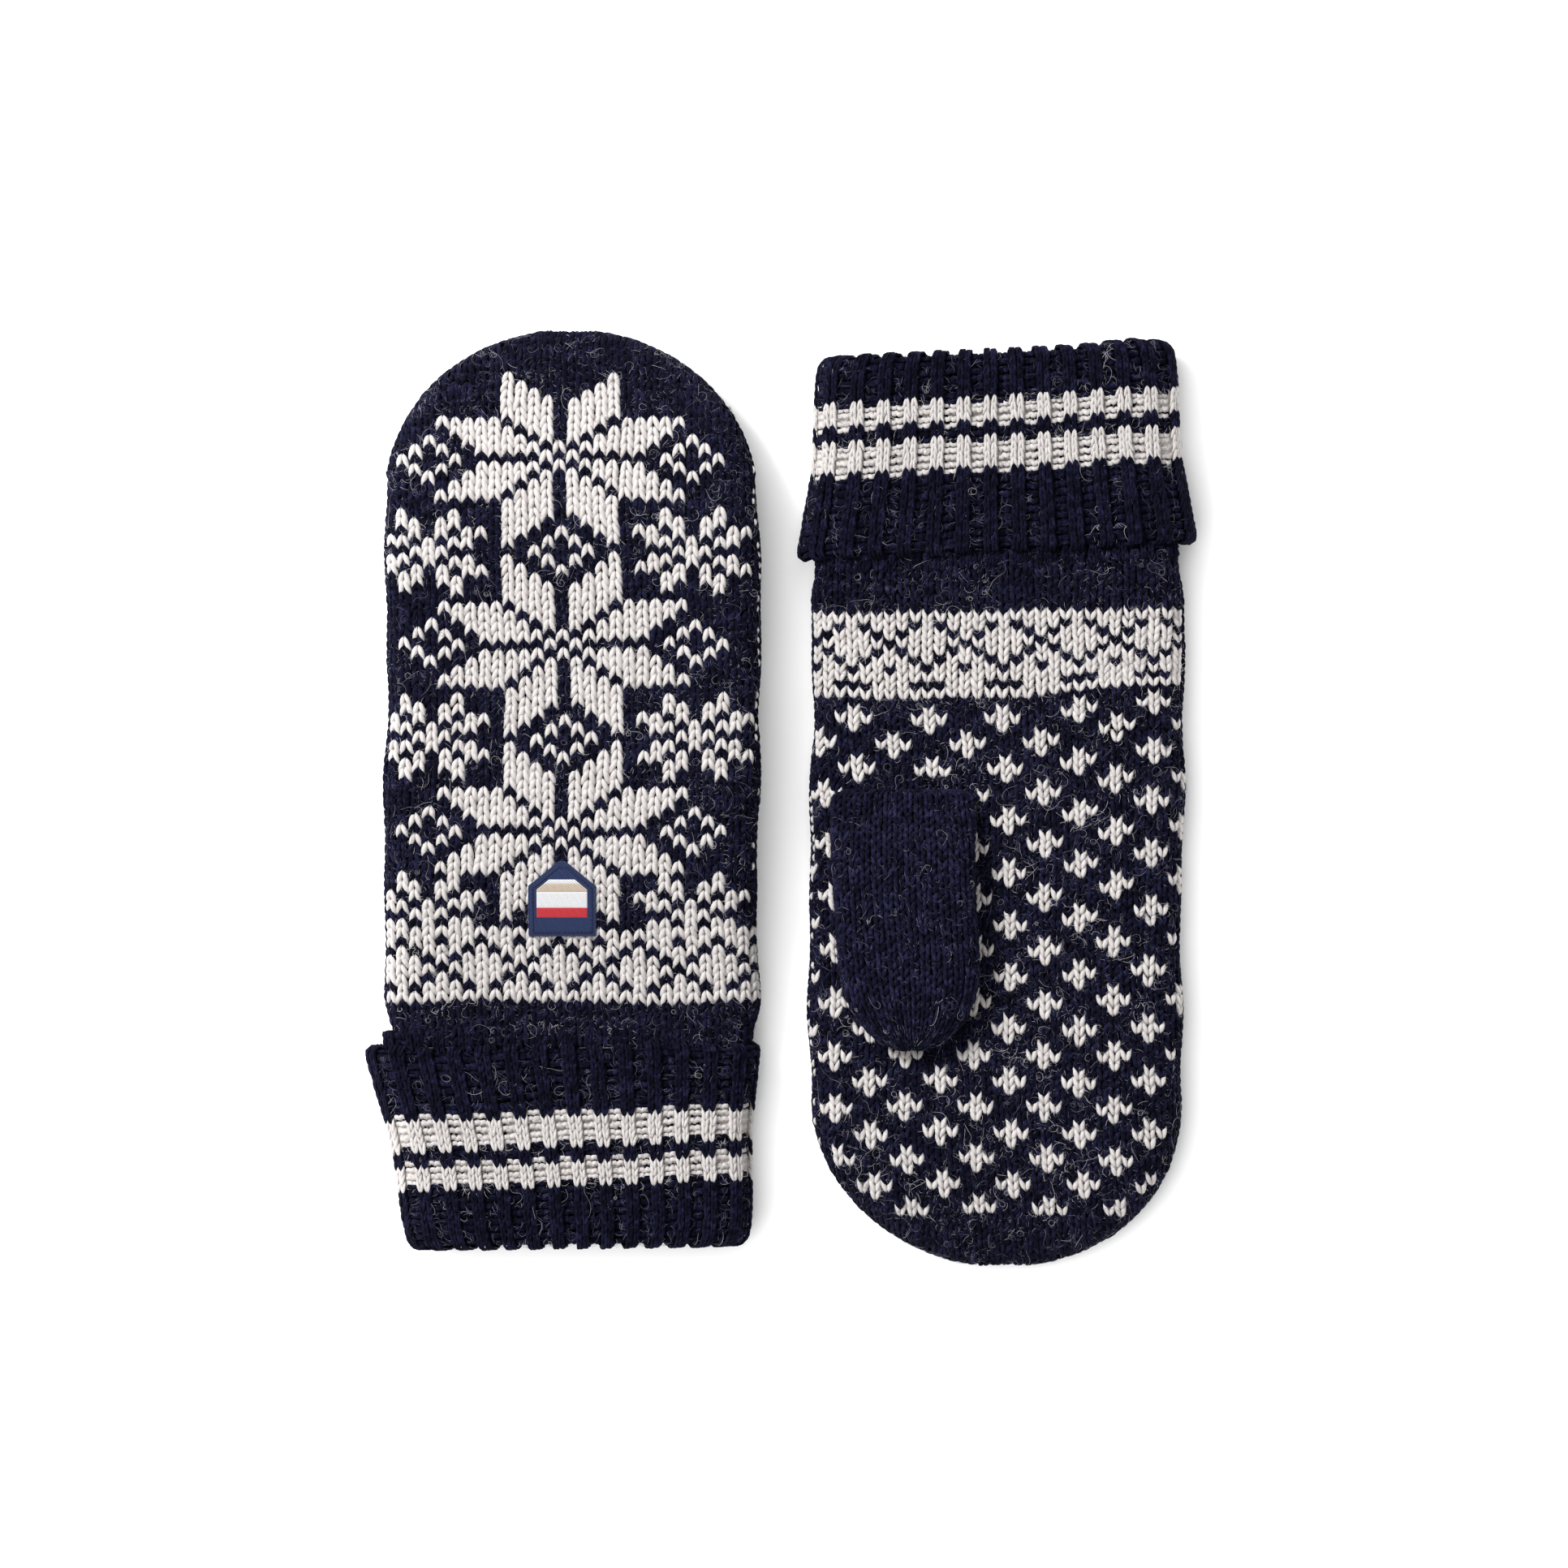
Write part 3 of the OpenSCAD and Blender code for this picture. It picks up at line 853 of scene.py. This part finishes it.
def ribbed(side, name, surface, rows, row, stripe, body, node, coarse=False):
    """Knit and purl columns of a 2x2 rib, one piece of each colour; its stitches point back towards row 0."""
    k = np.arange(RIBS)
    knit = stitch_template(
        KNIT_W, row, -1, fat=0.225, rings=3 if coarse else 4, sides=5 if coarse else 6, spread=0.35
    )
    purl = purl_template(PURL_W, row)
    upper, under = purl_template(PURL_W, row, 0.36, 0.55), purl_template(PURL_W, row, 0.33, -0.5)
    parts = {False: [], True: []}
    for r in rows:
        pale = stripe(r)
        before = stripe(r - 1)
        t = np.full(RIBS, (r + 0.5) * row)
        for share, high in zip(RIB_KNIT, (1.0, 0.8)):
            s = (k + share) * RIB
            parts[pale].append(scatter(surface, knit, s, t, high))
        for share in RIB_PURL:
            s = (k + share) * RIB
            if pale != before:
                parts[pale].append(scatter(surface, upper, s, t + 0.24 * row, -0.6))
                parts[before].append(scatter(surface, upper, s, t - 0.20 * row, -0.5))
            elif pale:
                parts[pale].append(scatter(surface, upper, s, t, -0.45))
                parts[pale].append(scatter(surface, under, s + 0.12 * RIB, t + 0.45 * row, -0.6))
            else:
                parts[pale].append(scatter(surface, purl, s, t, -1.2 + side_edge(s, surface.period)))
    for pale, word, mat in ((False, "navy", navy), (True, "cream", cream)):
        if parts[pale]:
            o = stitches(side, f"{name}_{word}_stitches", joined(parts[pale]))
            put(o, mat, body, () if pale else (node,))


def ground(side, name, surface, t0, t1, high, low, body, pale=False, ribbed_to=None):
    """The fabric behind a rib's stitches; it lies flat past ribbed_to, where the layer doubles back."""
    s = np.linspace(0, surface.period, 560)[:-1]
    t = np.linspace(t0, t1, max(int((t1 - t0) / 1.4), 3))
    ss, tt = np.meshgrid(s, t)
    out = rib_height(ss, high, low)
    out = out + 0.85 * (high - out) * side_edge(ss, surface.period)
    if ribbed_to is not None:
        outside = smooth((tt + 2) / 2) * (1 - smooth((tt - ribbed_to + 1) / 2))
        out = -0.15 + (out + 0.15) * outside
    o = grid_object(f"{side}_{name}", surface.at(ss, tt, out), side, close=True)
    # the ground is a darker copy of its navy or cream wool: painted shade between the rib's stitches
    put(o, cream_painted_shade if pale else navy_painted_shade, body)


def cuff_stripe(side, r):
    return any(first <= r - STRIPE_START[side] < end for first, end in STRIPES.values())


def plain(r):
    return False


def turned_up_cuff(side):
    """The turned-up layer of rib with its two cream stripes: its surface and the height of its rows."""
    path = turnup_path()
    along = run_length(*np.array(path).T)
    tube = tube_surface(tube_rows(side, path, True), HAND_POWER, along, RIBS * RIB)
    fold_t = float(along[LIP_POINTS // 2])
    edge_t = float(along[LIP_POINTS + OUTSIDE_POINTS + EDGE_POINTS // 2])
    row = (edge_t - fold_t) / TURNUP_ROWS
    sf = Surface(tube.s, tube.t - fold_t, slanted(side, tube).p, period=tube.period)
    body = side + "_cuff"
    stripe = functools.partial(cuff_stripe, side)
    ribbed(side, "turnup", sf, range(-FOLDED_ROWS, TURNUP_ROWS), row, stripe, body, side + "_cuff_turnup")
    ground(side, "turnup_ground", sf, sf.t[0], sf.t[-1], 0.4, -1.3, body, ribbed_to=TURNUP_ROWS * row)
    # each stripe's ground is the darker cream: painted shade behind its stitches
    for name, (first, end) in STRIPES.items():
        t0, t1 = STRIPE_START[side] + first + 0.2, STRIPE_START[side] + end - 0.1
        ground(side, f"turnup_{name}_stripe", sf, t0 * row, t1 * row, 0.45, -0.9, body, pale=True)
    return sf, row


def cuff_sleeve(side):
    """The plain ribbed sleeve under the turned-up layer: out to the fold and back inside."""
    outside = [(v, -0.2) for v in np.linspace(SLEEVE_END + 2, 3, 30)]
    bend = arc_points(3.4, -1.3, 1.1, 1.1, 90, 270, 6)
    within = [(v, -2.4) for v in np.linspace(3.6, SLEEVE_END + 1, 30)]
    path = outside + bend + within
    tube = tube_surface(tube_rows(side, path, False), HAND_POWER, run_length(*np.array(path).T), RIBS * RIB)
    sf = Surface(tube.s, tube.t, slanted(side, tube).p, period=tube.period, flip=True)
    body = side + "_hand"
    node = side + "_cuff_sleeve"
    ribbed(side, "sleeve", sf, range(SLEEVE_ROWS), SLEEVE_ROW, plain, body, node, coarse=True)
    ground(side, "sleeve_ground", sf, 0, sf.t[-1], -0.2, -1.2, body)


cuff_tubes = {}
for side in (LEFT, RIGHT):
    cuff_tubes[side] = turned_up_cuff(side)
    cuff_sleeve(side)

# ---------------------------------------------------------------- thumbs

THUMB_TIP = 26.0
THUMB_WALES = 28
THUMB_WALE, THUMB_ROW = 3.4, 2.35
# how far the thumb's fleece lies inside its knit, and the length its sections are scaled to
THUMB_LINING_IN = 2.3
THUMB_LINING_ROUND = 70.0


def thumb_height(v):
    """How thick the thumb is at v: it swells out of the palm and closes at its tip."""
    root = 0.34 + 0.66 * smooth((v - THUMB_START) / 17)
    return 2 * THUMB_B * root


def thumb_rows(side, d):
    """Sections of the thumb set in by d: its face against the palm is flat, the other one swells."""
    rows, palm_w = [], 2 * THUMB_B
    for v, wide, high in ((-1.6, 0.72, 0.25), (-1.0, 0.9, 0.6), (-0.2, 1.0, 0.9)):
        h = thumb_height(THUMB_START) * high
        a = max(THUMB_A * wide - d, 0.4)
        rows.append((THUMB_START + v + d, THUMB_U, palm_w - h / 2, a, max(h / 2 - d, 0.3)))
    closing = 0.62 + 0.38 * np.sin(np.linspace(0.05, 1, 20) * np.pi / 2)
    for q in np.concatenate([np.linspace(0.02, 0.62, 16), closing]):
        v = THUMB_START + q * (THUMB_END - THUMB_START - d)
        t = (v - THUMB_END + THUMB_TIP) / (THUMB_TIP - d)
        h = thumb_height(v) - 2 * d
        sway = (-2.4 if side == RIGHT else -0.6) * smooth((v - THUMB_START - 10) / 60)
        droop = 0.24 * smooth((v - THUMB_END + 20) / 20)
        a = (THUMB_A - 0.5 * smooth((v - THUMB_START) / 30) - d) * float(rounding(t, 2.2))
        b = h / 2 * float(rounding(t, 3))
        rows.append((v, THUMB_U + float(sway), palm_w - h / 2 - d + float(droop), max(a, 0.8), max(b, 0.35)))
    return rows


def rows_along(rows):
    """Length along a tube's sections, in which a change of width or thickness counts for part of its size."""
    r = np.array(rows)
    return run_length(r[:, 0], math.sqrt(0.35) * r[:, 4], math.sqrt(0.35) * r[:, 3])


def blend_thumb(o, side):
    start = to_row(side, (THUMB_U, THUMB_START + 1, THUMB_MID))
    end = to_row(side, (THUMB_U, THUMB_START + 15, THUMB_MID))
    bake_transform(o)


thumb_tubes = {}
for side in (LEFT, RIGHT):
    sections = thumb_rows(side, 0.0)
    along = rows_along(sections)
    sf = tube_surface(sections, THUMB_POWER, along, THUMB_WALES * THUMB_WALE)
    thumb_tubes[side] = sf
    c, r = np.meshgrid(np.arange(THUMB_WALES), np.arange(0, int(along[-1] / THUMB_ROW)))
    s, t = (c.ravel() + 0.5) * THUMB_WALE, (r.ravel() + 0.5) * THUMB_ROW
    shell = stitches(side, "thumb_stitches", scatter(sf, stitch_template(THUMB_WALE, THUMB_ROW), s, t))
    ss, tt = np.meshgrid(np.linspace(0, sf.period, 97)[:-1], np.linspace(0, sf.t[-1], 70))
    # a skin of darker navy under the thumb's stitches: painted shade seen through the gaps
    inner = grid_object(f"{side}_thumb_floats", sf.at(ss, tt, -FLOATS_IN), side, close=True)
    sections = thumb_rows(side, THUMB_LINING_IN)
    ls = tube_surface(sections, THUMB_POWER, rows_along(sections), THUMB_LINING_ROUND)
    ss, tt = np.meshgrid(np.linspace(0, THUMB_LINING_ROUND, 81)[:-1], np.linspace(0, ls.t[-1], 60))
    nap = 0.18 * np.sin(ss * 3.1 + 2 * np.sin(tt * 1.7)) * np.sin(tt * 2.9 + ss)
    lining = grid_object(f"{side}_thumb_fleece", ls.at(ss, tt, nap), side, close=True)
    # the thumb's knit takes the lighter navy copy, painted light
    for o, mat, slot, node in (
        (shell, navy_thumb_painted_light, "navy_wool", (f"{side}_thumb_shell",)),
        (inner, navy_painted_shade, "navy_wool", ()),
        (lining, fleece, "fleece", (f"{side}_thumb_lining",)),
    ):
        blend_thumb(put(o, mat, None, node), side)


# ---------------------------------------------------------------- seams and lining

# how far the hand's fleece lies inside its knit: its outer face and its inner one
LINING_OUT, LINING_IN = 2.6, 3.7
LINING_ROUND = 200.0


def strand_chain(side, name, points, ups, length, radius, tilt, mat, slot, *nodes):
    """Short stitches one after another along a path, each tilted the same way."""
    points, ups = np.asarray(points, float), np.asarray(ups, float)
    arc = run_length(*points.T)
    n = int(arc[-1] / length)
    at = (np.arange(n) + 0.5) * length

    def along(values, places):
        return np.stack([np.interp(places, arc, values[:, k]) for k in range(3)], 1)

    centre, up = along(points, at), unit(along(ups, at))
    ahead = unit(along(points, at + 0.3) - along(points, at - 0.3))
    across = np.cross(up, ahead)
    q = np.linspace(0, 1, 6)
    out = 0.35 * radius * np.sin(np.pi * q)
    path = np.stack([1.35 * length * (q - 0.5), radius * tilt * (q - 0.5), out], 1)
    radii = radius * (0.45 + 0.55 * np.sin(np.pi * (0.1 + 0.8 * q)))
    verts, quads, tris, _ = leg_template(path, radii, 0.9)
    p = centre[:, None] + rng.normal(0, 0.06, (n, 1, 3)) * radius
    for k, way in enumerate((ahead, across, up)):
        p = p + verts[None, :, k : k + 1] * way[:, None]
    o = add_mesh(f"{side}_{name}", p.reshape(-1, 3), copied(quads, tris, n, len(verts)), side)
    put(o, mat, side + "_hand", nodes)


def side_seam(side):
    """Two rows of slanting stitches up one side of the hand, over the fingertip and down the other."""
    sf = surfaces[side, 1]
    ts = np.linspace(sf.t[0] + 1, sf.t[-1] - 0.5, 300)
    one = sf.at(sf.edge_at(ts) - 0.2, ts, 0.1)
    two = sf.at(-sf.edge_at(ts) + 0.2, ts, 0.1)
    path = np.concatenate([two, one[::-1]])
    middle = np.stack([np.full(len(path), 0.0), np.minimum(path[:, 1], LENGTH - TIP_L), path[:, 2]], 1)
    away = path - middle
    away[:, 2] = 0
    for word, lift, tilt, nodes in (("a", 0.7, 1.6, [f"{side}_side_seam"]), ("b", -0.7, -1.6, [])):
        raised = path + (0, 0, lift)
        strand_chain(side, f"seam_{word}", raised, away, 2.5, 0.95, tilt, navy, "navy_wool", *nodes)


def thumb_pickup(side):
    """The row of picked-up stitches where the thumb leaves the palm."""
    palm = surfaces[side, -1]
    span = np.linspace(-THUMB_A, THUMB_A, 60)
    bowed = t_of_v(palm, THUMB_START) - 0.8 + 0.005 * np.abs(span) ** 1.6
    root = palm.at(span + THUMB_U, bowed, 0.7)
    ups = np.tile((0.0, 0.0, -1.0), (60, 1))
    strand_chain(side, "thumb_pickup", root, ups, 2.4, 1.0, 1.5, navy, "navy_wool", f"{side}_thumb_seam")


def hand_lining_row(side, v, d):
    """A section of the hand's fleece, set in by d; the inner face ends a little short of the outer one."""
    tip = LENGTH - TIP_L
    t = (v - tip) / (TIP_L - d)
    a = max((float(hand_a(side, min(v, tip))) - d) * float(rounding(t, 2.1)), 1.0)
    b = max((float(hand_b(side, min(v, tip))) - d) * float(rounding(t, 4)), 0.25)
    short = 0.9 if d == LINING_IN and v > tip else 0
    return v - short, float(hand_centre(side, v)), float(mid_w(side, v)), a, b


def hand_lining(side):
    """Fleece lining of the hand, a closed skin with a brushed inner face."""
    tip = LENGTH - TIP_L
    closing = tip + (TIP_L - 3.4) * np.sin(np.linspace(0.03, 0.97, 24) * np.pi / 2)
    stations = np.concatenate([np.linspace(SLEEVE_END + 3, tip, 60), closing])
    sections = [hand_lining_row(side, v, LINING_IN) for v in stations[::-1]]
    sections += [hand_lining_row(side, v, LINING_OUT) for v in stations]
    along = rows_along(sections) + np.arange(len(sections)) * 1e-3
    loop = tube_surface(sections, HAND_POWER, along, LINING_ROUND)
    ss, tt = np.meshgrid(np.linspace(0, LINING_ROUND, 161)[:-1], np.linspace(0, loop.t[-1], 170))
    nap = 0.16 * np.sin(ss * 2.3 + 2 * np.sin(tt * 1.3)) * np.sin(tt * 2.1 + ss * 0.7)
    lining = grid_object(f"{side}_hand_fleece", loop.at(ss, tt, nap), side, close=True)
    put(lining, fleece, side + "_hand", (f"{side}_hand_lining",))


def lining_overlock(side):
    """Overlock stitching that holds the lining's open end."""
    centre, mid = float(hand_centre(side, SLEEVE_END)), float(mid_w(side, SLEEVE_END + 1.5))
    a = float(hand_a(side, np.array(SLEEVE_END + 1.0))) - 3.0
    sections = [(SLEEVE_END + 1.2 + k, centre, mid, a, SLEEVE_B - 2.9) for k in (0.0, 1.5)]
    ring = tube_surface(sections, HAND_POWER, [0, 1.5], LINING_ROUND)
    q = np.linspace(0, LINING_ROUND, 400)
    path = ring.at(q, np.full(400, 0.7), 0.0)
    ups = ring.at(q, np.full(400, 0.7), 1.0) - path
    node = f"{side}_lining_stitching"
    strand_chain(side, "lining_overlock", path, ups, 1.1, 0.42, 2.4, thread_mat, "thread", node)


for side in (LEFT, RIGHT):
    side_seam(side)
    thumb_pickup(side)
    hand_lining(side)
    lining_overlock(side)

# ---------------------------------------------------------------- label

label_surface = surfaces[LEFT, 1]
# the middle of its straight end, half its width, the height of its sides and of its peak, its face
LABEL_S, LABEL_T = -2.2, t_of_v(label_surface, 86.9)
LABEL_HALF, LABEL_SIDE, LABEL_PEAK = 9.4, 14.3, 21.3
LABEL_TOP = 1.75


def house(inset):
    """Half the label's width at a height above its straight end, set in from its edge all round."""

    def half(t):
        straight = LABEL_HALF - inset
        slope = (LABEL_HALF - 0.8) / (LABEL_PEAK - LABEL_SIDE)
        roof = (LABEL_PEAK - inset * math.hypot(1, 1 / slope) * 0.95 - t) * slope + 0.8
        return np.minimum(straight, roof)

    return half


def plate(name, t0, t1, half, bottom, top, round_off=0.35):
    """A thin flat piece on the label, between two heights above its straight end: its face and its edges."""
    n, m = 80, 110
    q = np.linspace(-1, 1, n)
    ts = np.linspace(t0, t1, m)
    ss = q[None, :] * np.maximum(half(ts), 0.12)[:, None]
    tt = np.repeat(ts[:, None], n, 1)
    weave = 0.035 * np.sin((ss + tt) * 2 * np.pi / 0.62)
    reach = np.minimum.reduce([np.maximum(half(ts), 0.12)[:, None] - np.abs(ss), tt - t0, t1 - tt])
    lift = top - round_off * np.exp(-reach / 0.22) + weave * (reach > 0.2)
    face = label_surface.at(LABEL_S + ss, LABEL_T + tt, lift)
    under = label_surface.at(LABEL_S + ss, LABEL_T + tt, bottom)
    p = np.concatenate([face.reshape(-1, 3), under.reshape(-1, 3)])
    i, j = np.meshgrid(np.arange(m - 1), np.arange(n - 1), indexing="ij")
    a = (i * n + j).ravel()
    quads = [np.stack([a, a + 1, a + n + 1, a + n], 1), np.stack([a, a + n, a + n + 1, a + 1], 1) + n * m]
    end, right = (m - 1) * n + np.arange(n - 2, -1, -1), np.arange(1, m) * n + n - 1
    rim = np.concatenate([np.arange(n), right, end, np.arange(m - 2, 0, -1) * n])
    nxt = np.roll(rim, -1)
    quads.append(np.stack([rim, rim + n * m, nxt + n * m, nxt], 1))
    return add_mesh(name, p, [np.concatenate(quads)], LEFT)


def twill(dark, light):
    def build(nt, sh):
        co = object_coords(nt)
        w = nt.nodes.new("ShaderNodeTexWave")
        w.bands_direction = "DIAGONAL"
        w.inputs["Scale"].default_value = 700
        w.inputs["Distortion"].default_value = 1.2
        nt.links.new(co, w.inputs["Vector"])
        uneven = noise(nt, co, 1400, 3, 0.6)
        colour = ramp(nt, mix(nt, w.outputs["Fac"], uneven, 0.45), [(0.25, dark), (0.7, light)])
        look(nt, sh, colour, 0.6, 0.35, 0.15)
        bump(nt, mix(nt, w.outputs["Fac"], uneven, 0.3), 0.6, 0.0002, sh)

    return build


label_navy = material("label_navy", twill((0.006, 0.012, 0.045), (0.022, 0.045, 0.15)))
label_white = material("label_white", twill((0.72, 0.72, 0.74), (0.90, 0.90, 0.92)))
label_beige = material("label_beige", twill((0.50, 0.40, 0.31), (0.68, 0.57, 0.46)))
label_red = material("label_red", twill((0.42, 0.018, 0.028), (0.70, 0.045, 0.06)))

def label_loop(inset, end, height):
    """Points round the label, set in from its edge and stopping short of its peak, raised to a height."""
    ts = np.linspace(inset, LABEL_PEAK - end, 60)
    right_side = np.stack([house(inset)(ts), ts], 1)
    loop = np.concatenate([[(0, inset)], right_side, right_side[::-1] * (-1, 1), [(0, inset)]])
    return label_surface.at(LABEL_S + loop[:, 0], LABEL_T + loop[:, 1], height)


ground_plate = plate("left_label_ground", 0, LABEL_PEAK, house(0), 0.2, LABEL_TOP)
put(ground_plate, label_navy, "left_hand", ("left_label_patch",))
FIELD = house(2.3)
for name, t0, t1, mat in (
    ("red_stripe", 5.4, 8.2, label_red),
    ("white_stripe", 8.2, 12.7, label_white),
    ("beige_stripe", 12.7, 15.0, label_beige),
    ("white_end", 15.0, 16.2, label_white),
):
    put(plate(f"left_label_{name}", t0, t1, FIELD, LABEL_TOP - 0.3, LABEL_TOP + 0.13, 0.1), mat, "left_hand")

path = label_loop(1.15, 1.6, LABEL_TOP + 0.05)
ups = label_loop(1.15, 1.6, LABEL_TOP + 1.05) - path
strand_chain(LEFT, "label_thread", path, ups, 1.15, 0.2, 0.3, thread_mat, "thread", "left_label_stitching")
path = label_loop(0.12, 0.3, LABEL_TOP - 0.25)
strand_chain(LEFT, "label_edge", path, ups, 0.55, 0.24, 0.9, label_navy, "thread")

# ---------------------------------------------------------------- loose fibres


# radii of the short fuzz and of the long stray hairs
FUZZ_R, STRAY_R = 0.034, 0.042
FLECK_PATH = [(0, -1.2, 0), (0.1, -0.6, 0.3), (0.05, 0, 0.45), (0, 0.7, 0.3), (0.1, 1.3, 0)]


def fibres(surface, s, t, length, curl, radius, rise, points, base=0.5, wander=0.35):
    """Thin curling hairs, three-sided and closed, starting at s, t and lifting off the fabric."""
    n = len(s)
    heading = rng.uniform(0, 2 * np.pi, n)
    bend = rng.normal(0, curl, n)
    step = (length / (points - 1))[:, None]
    drift = np.cumsum(np.cumsum(rng.normal(0, wander * curl, (n, points)) * step, 1) * step, 1)
    angle = heading[:, None] + bend[:, None] * step * np.arange(points) + drift
    ps = s[:, None] + np.cumsum(np.cos(angle) * step, 1)
    pt = t[:, None] + np.cumsum(np.sin(angle) * step, 1)
    q = np.linspace(0, 1, points)
    wave = np.sin(np.pi * (q[None, :] * rng.uniform(0.5, 1.6, n)[:, None] + rng.uniform(0, 0.3, n)[:, None]))
    out = base + rise[:, None] * np.abs(wave)
    pt = np.clip(pt, surface.t[0], surface.t[-1])
    p = surface.at(ps, pt, out)
    ahead = unit(np.gradient(p, axis=1))
    across = unit(np.cross(ahead, (0.31, 0.22, 0.93)))
    up = np.cross(across, ahead)
    thick = radius * np.where((q == 0) | (q == 1), 0.35, 1.0)
    thick = thick[None, :, None]
    corners = np.radians((0, 120, 240))
    rings = np.stack([p + thick * (across * math.cos(a) + up * math.sin(a)) for a in corners], 2)
    verts = rings.reshape(-1, 3)
    k, j = np.meshgrid(np.arange(points - 1), np.arange(3), indexing="ij")
    a, b = (k * 3 + j).ravel(), (k * 3 + (j + 1) % 3).ravel()
    quads = np.stack([a, b, b + 3, a + 3], 1)
    end = (points - 1) * 3
    tris = np.array([(0, 2, 1), (end, end + 1, end + 2)])
    return verts, copied(quads, tris, n, points * 3), np.zeros((len(verts), 3))


def sprinkle(count, spots):
    """Random places near the given stitches."""
    pick = rng.integers(0, len(spots[0]), count)
    return spots[0][pick] + rng.normal(0, 0.7, count), spots[1][pick] + rng.normal(0, 0.7, count)


def fuzz(surface, count, spots):
    s, t = sprinkle(count, spots)
    return fibres(surface, s, t, rng.uniform(1.4, 3.6, count), 0.5, FUZZ_R, rng.uniform(0.2, 1.0, count), 4)


def stray(surface, count, spots):
    s, t = sprinkle(count, spots)
    length, rise = rng.uniform(3, 13, count), rng.uniform(0.1, 0.9, count)
    return fibres(surface, s, t, length, 0.30, STRAY_R, rise, 14, 0.7, 1.5)


def lay_fibres(side, prefix, pieces, body):
    for name, (v, f, _), mat in pieces:
        o = put(add_mesh(f"{side}_{prefix}_{name}", v, f, side), mat, body)
        if body is None:
            blend_thumb(o, side)


def side_flecks(side, face, word):
    """The single strands of cream carried up the fabric beside the thumb-side edge."""
    sf = surfaces[side, face]
    ts = np.arange(t_of_v(sf, 106), t_of_v(sf, 222), GAUGE[face][1] * 1.15)
    ts = ts[rng.random(len(ts)) < 0.62]
    ss = np.interp(ts, sf.t, sf.edge) - 2.6 + 0.35 * np.sin(ts / 5)
    strand = leg_template(FLECK_PATH, [0.2, 0.42, 0.5, 0.42, 0.2], 0.8)
    made = scatter(sf, strand, ss, ts, 0.75, rng.uniform(0.5, 1.0, len(ts)))
    put(stitches(side, f"{word}_side_flecks", made), cream, side + "_hand")


for side in (LEFT, RIGHT):
    for face, word in ((1, "back"), (-1, "palm")):
        sf = surfaces[side, face]
        pale, dark = pale_spots[side, face], navy_spots[side, face]
        pieces = (
            ("cream_fuzz", fuzz(sf, 4400, pale), cream_hair),
            ("navy_fuzz", fuzz(sf, 7200, dark), navy_hair_and_sheen),
            ("stray_fibres", joined([stray(sf, 760, dark), stray(sf, 110, pale)]), pale_hair),
        )
        lay_fibres(side, word, pieces, side + "_hand")
        side_flecks(side, face, word)

    sf, row = cuff_tubes[side]
    s = rng.uniform(0, sf.period, 6000)
    t = rng.uniform(-1, TURNUP_ROWS - 1, 6000) * row
    pale = np.array([cuff_stripe(side, int(r)) for r in t / row])
    pieces = (
        ("cream_fuzz", fuzz(sf, 1500, (s[pale], t[pale])), cream_hair),
        ("navy_fuzz", fuzz(sf, 2600, (s[~pale], t[~pale])), navy_hair_and_sheen),
        ("stray_fibres", stray(sf, 150, (s[~pale], t[~pale])), pale_hair),
    )
    lay_fibres(side, "turnup", pieces, side + "_cuff")

    sf = thumb_tubes[side]
    s, t = rng.uniform(0, sf.period, 3000), rng.uniform(4, sf.t[-1] - 1, 3000)
    pieces = (
        ("navy_fuzz", fuzz(sf, 1500, (s, t)), navy_hair_and_sheen),
        ("stray_fibres", stray(sf, 55, (s, t)), pale_hair),
    )
    lay_fibres(side, "thumb", pieces, None)

# ---------------------------------------------------------------- stage

# in metres; the floor lies a little below the lowest yarn
FLOOR_HALF, FLOOR_Z = 6, -0.0008
floor_mesh = bpy.data.meshes.new("floor")
corners = [(x * FLOOR_HALF, y * FLOOR_HALF, FLOOR_Z) for x, y in ((-1, -1), (1, -1), (1, 1), (-1, 1))]
floor_mesh.from_pydata(corners, [], [(0, 1, 2, 3)])
floor = bpy.data.objects.new("floor", floor_mesh)
bpy.context.scene.collection.objects.link(floor)
floor_mat = bpy.data.materials.new("floor")
floor_mat.use_nodes = True
fsh = floor_mat.node_tree.nodes["Principled BSDF"]
fsh.inputs["Base Color"].default_value = (0.9, 0.9, 0.9, 1)
fsh.inputs["Roughness"].default_value = 0.9
fsh.inputs["Specular IOR Level"].default_value = 0.0
floor_mesh.materials.append(floor_mat)

world = bpy.data.worlds.new("world")
bpy.context.scene.world = world
world.use_nodes = True
world.node_tree.nodes["Background"].inputs[0].default_value = (1, 1, 1, 1)
world.node_tree.nodes["Background"].inputs[1].default_value = 0.50


def area_light(name, location, size, power):
    """A rectangular light that faces the origin."""
    data = bpy.data.lights.new(name, "AREA")
    data.shape = "RECTANGLE"
    data.size, data.size_y = size
    data.energy = power
    o = bpy.data.objects.new(name, data)
    o.location = location
    o.rotation_euler = (-Vector(location)).to_track_quat("-Z", "Y").to_euler()
    bpy.context.scene.collection.objects.link(o)
    return o


area_light("key", (-1.1, 0.9, 1.3), (0.6, 0.6), 37)
backdrop_light = area_light("backdrop_light", (-1.5, 0.2, 1.8), (5.6, 5.6), 275)
# this light falls on the floor alone
lit = bpy.data.collections.new("backdrop")
lit.objects.link(floor)
backdrop_light.light_linking.receiver_collection = lit

bpy.context.scene.view_settings.view_transform = "Standard"
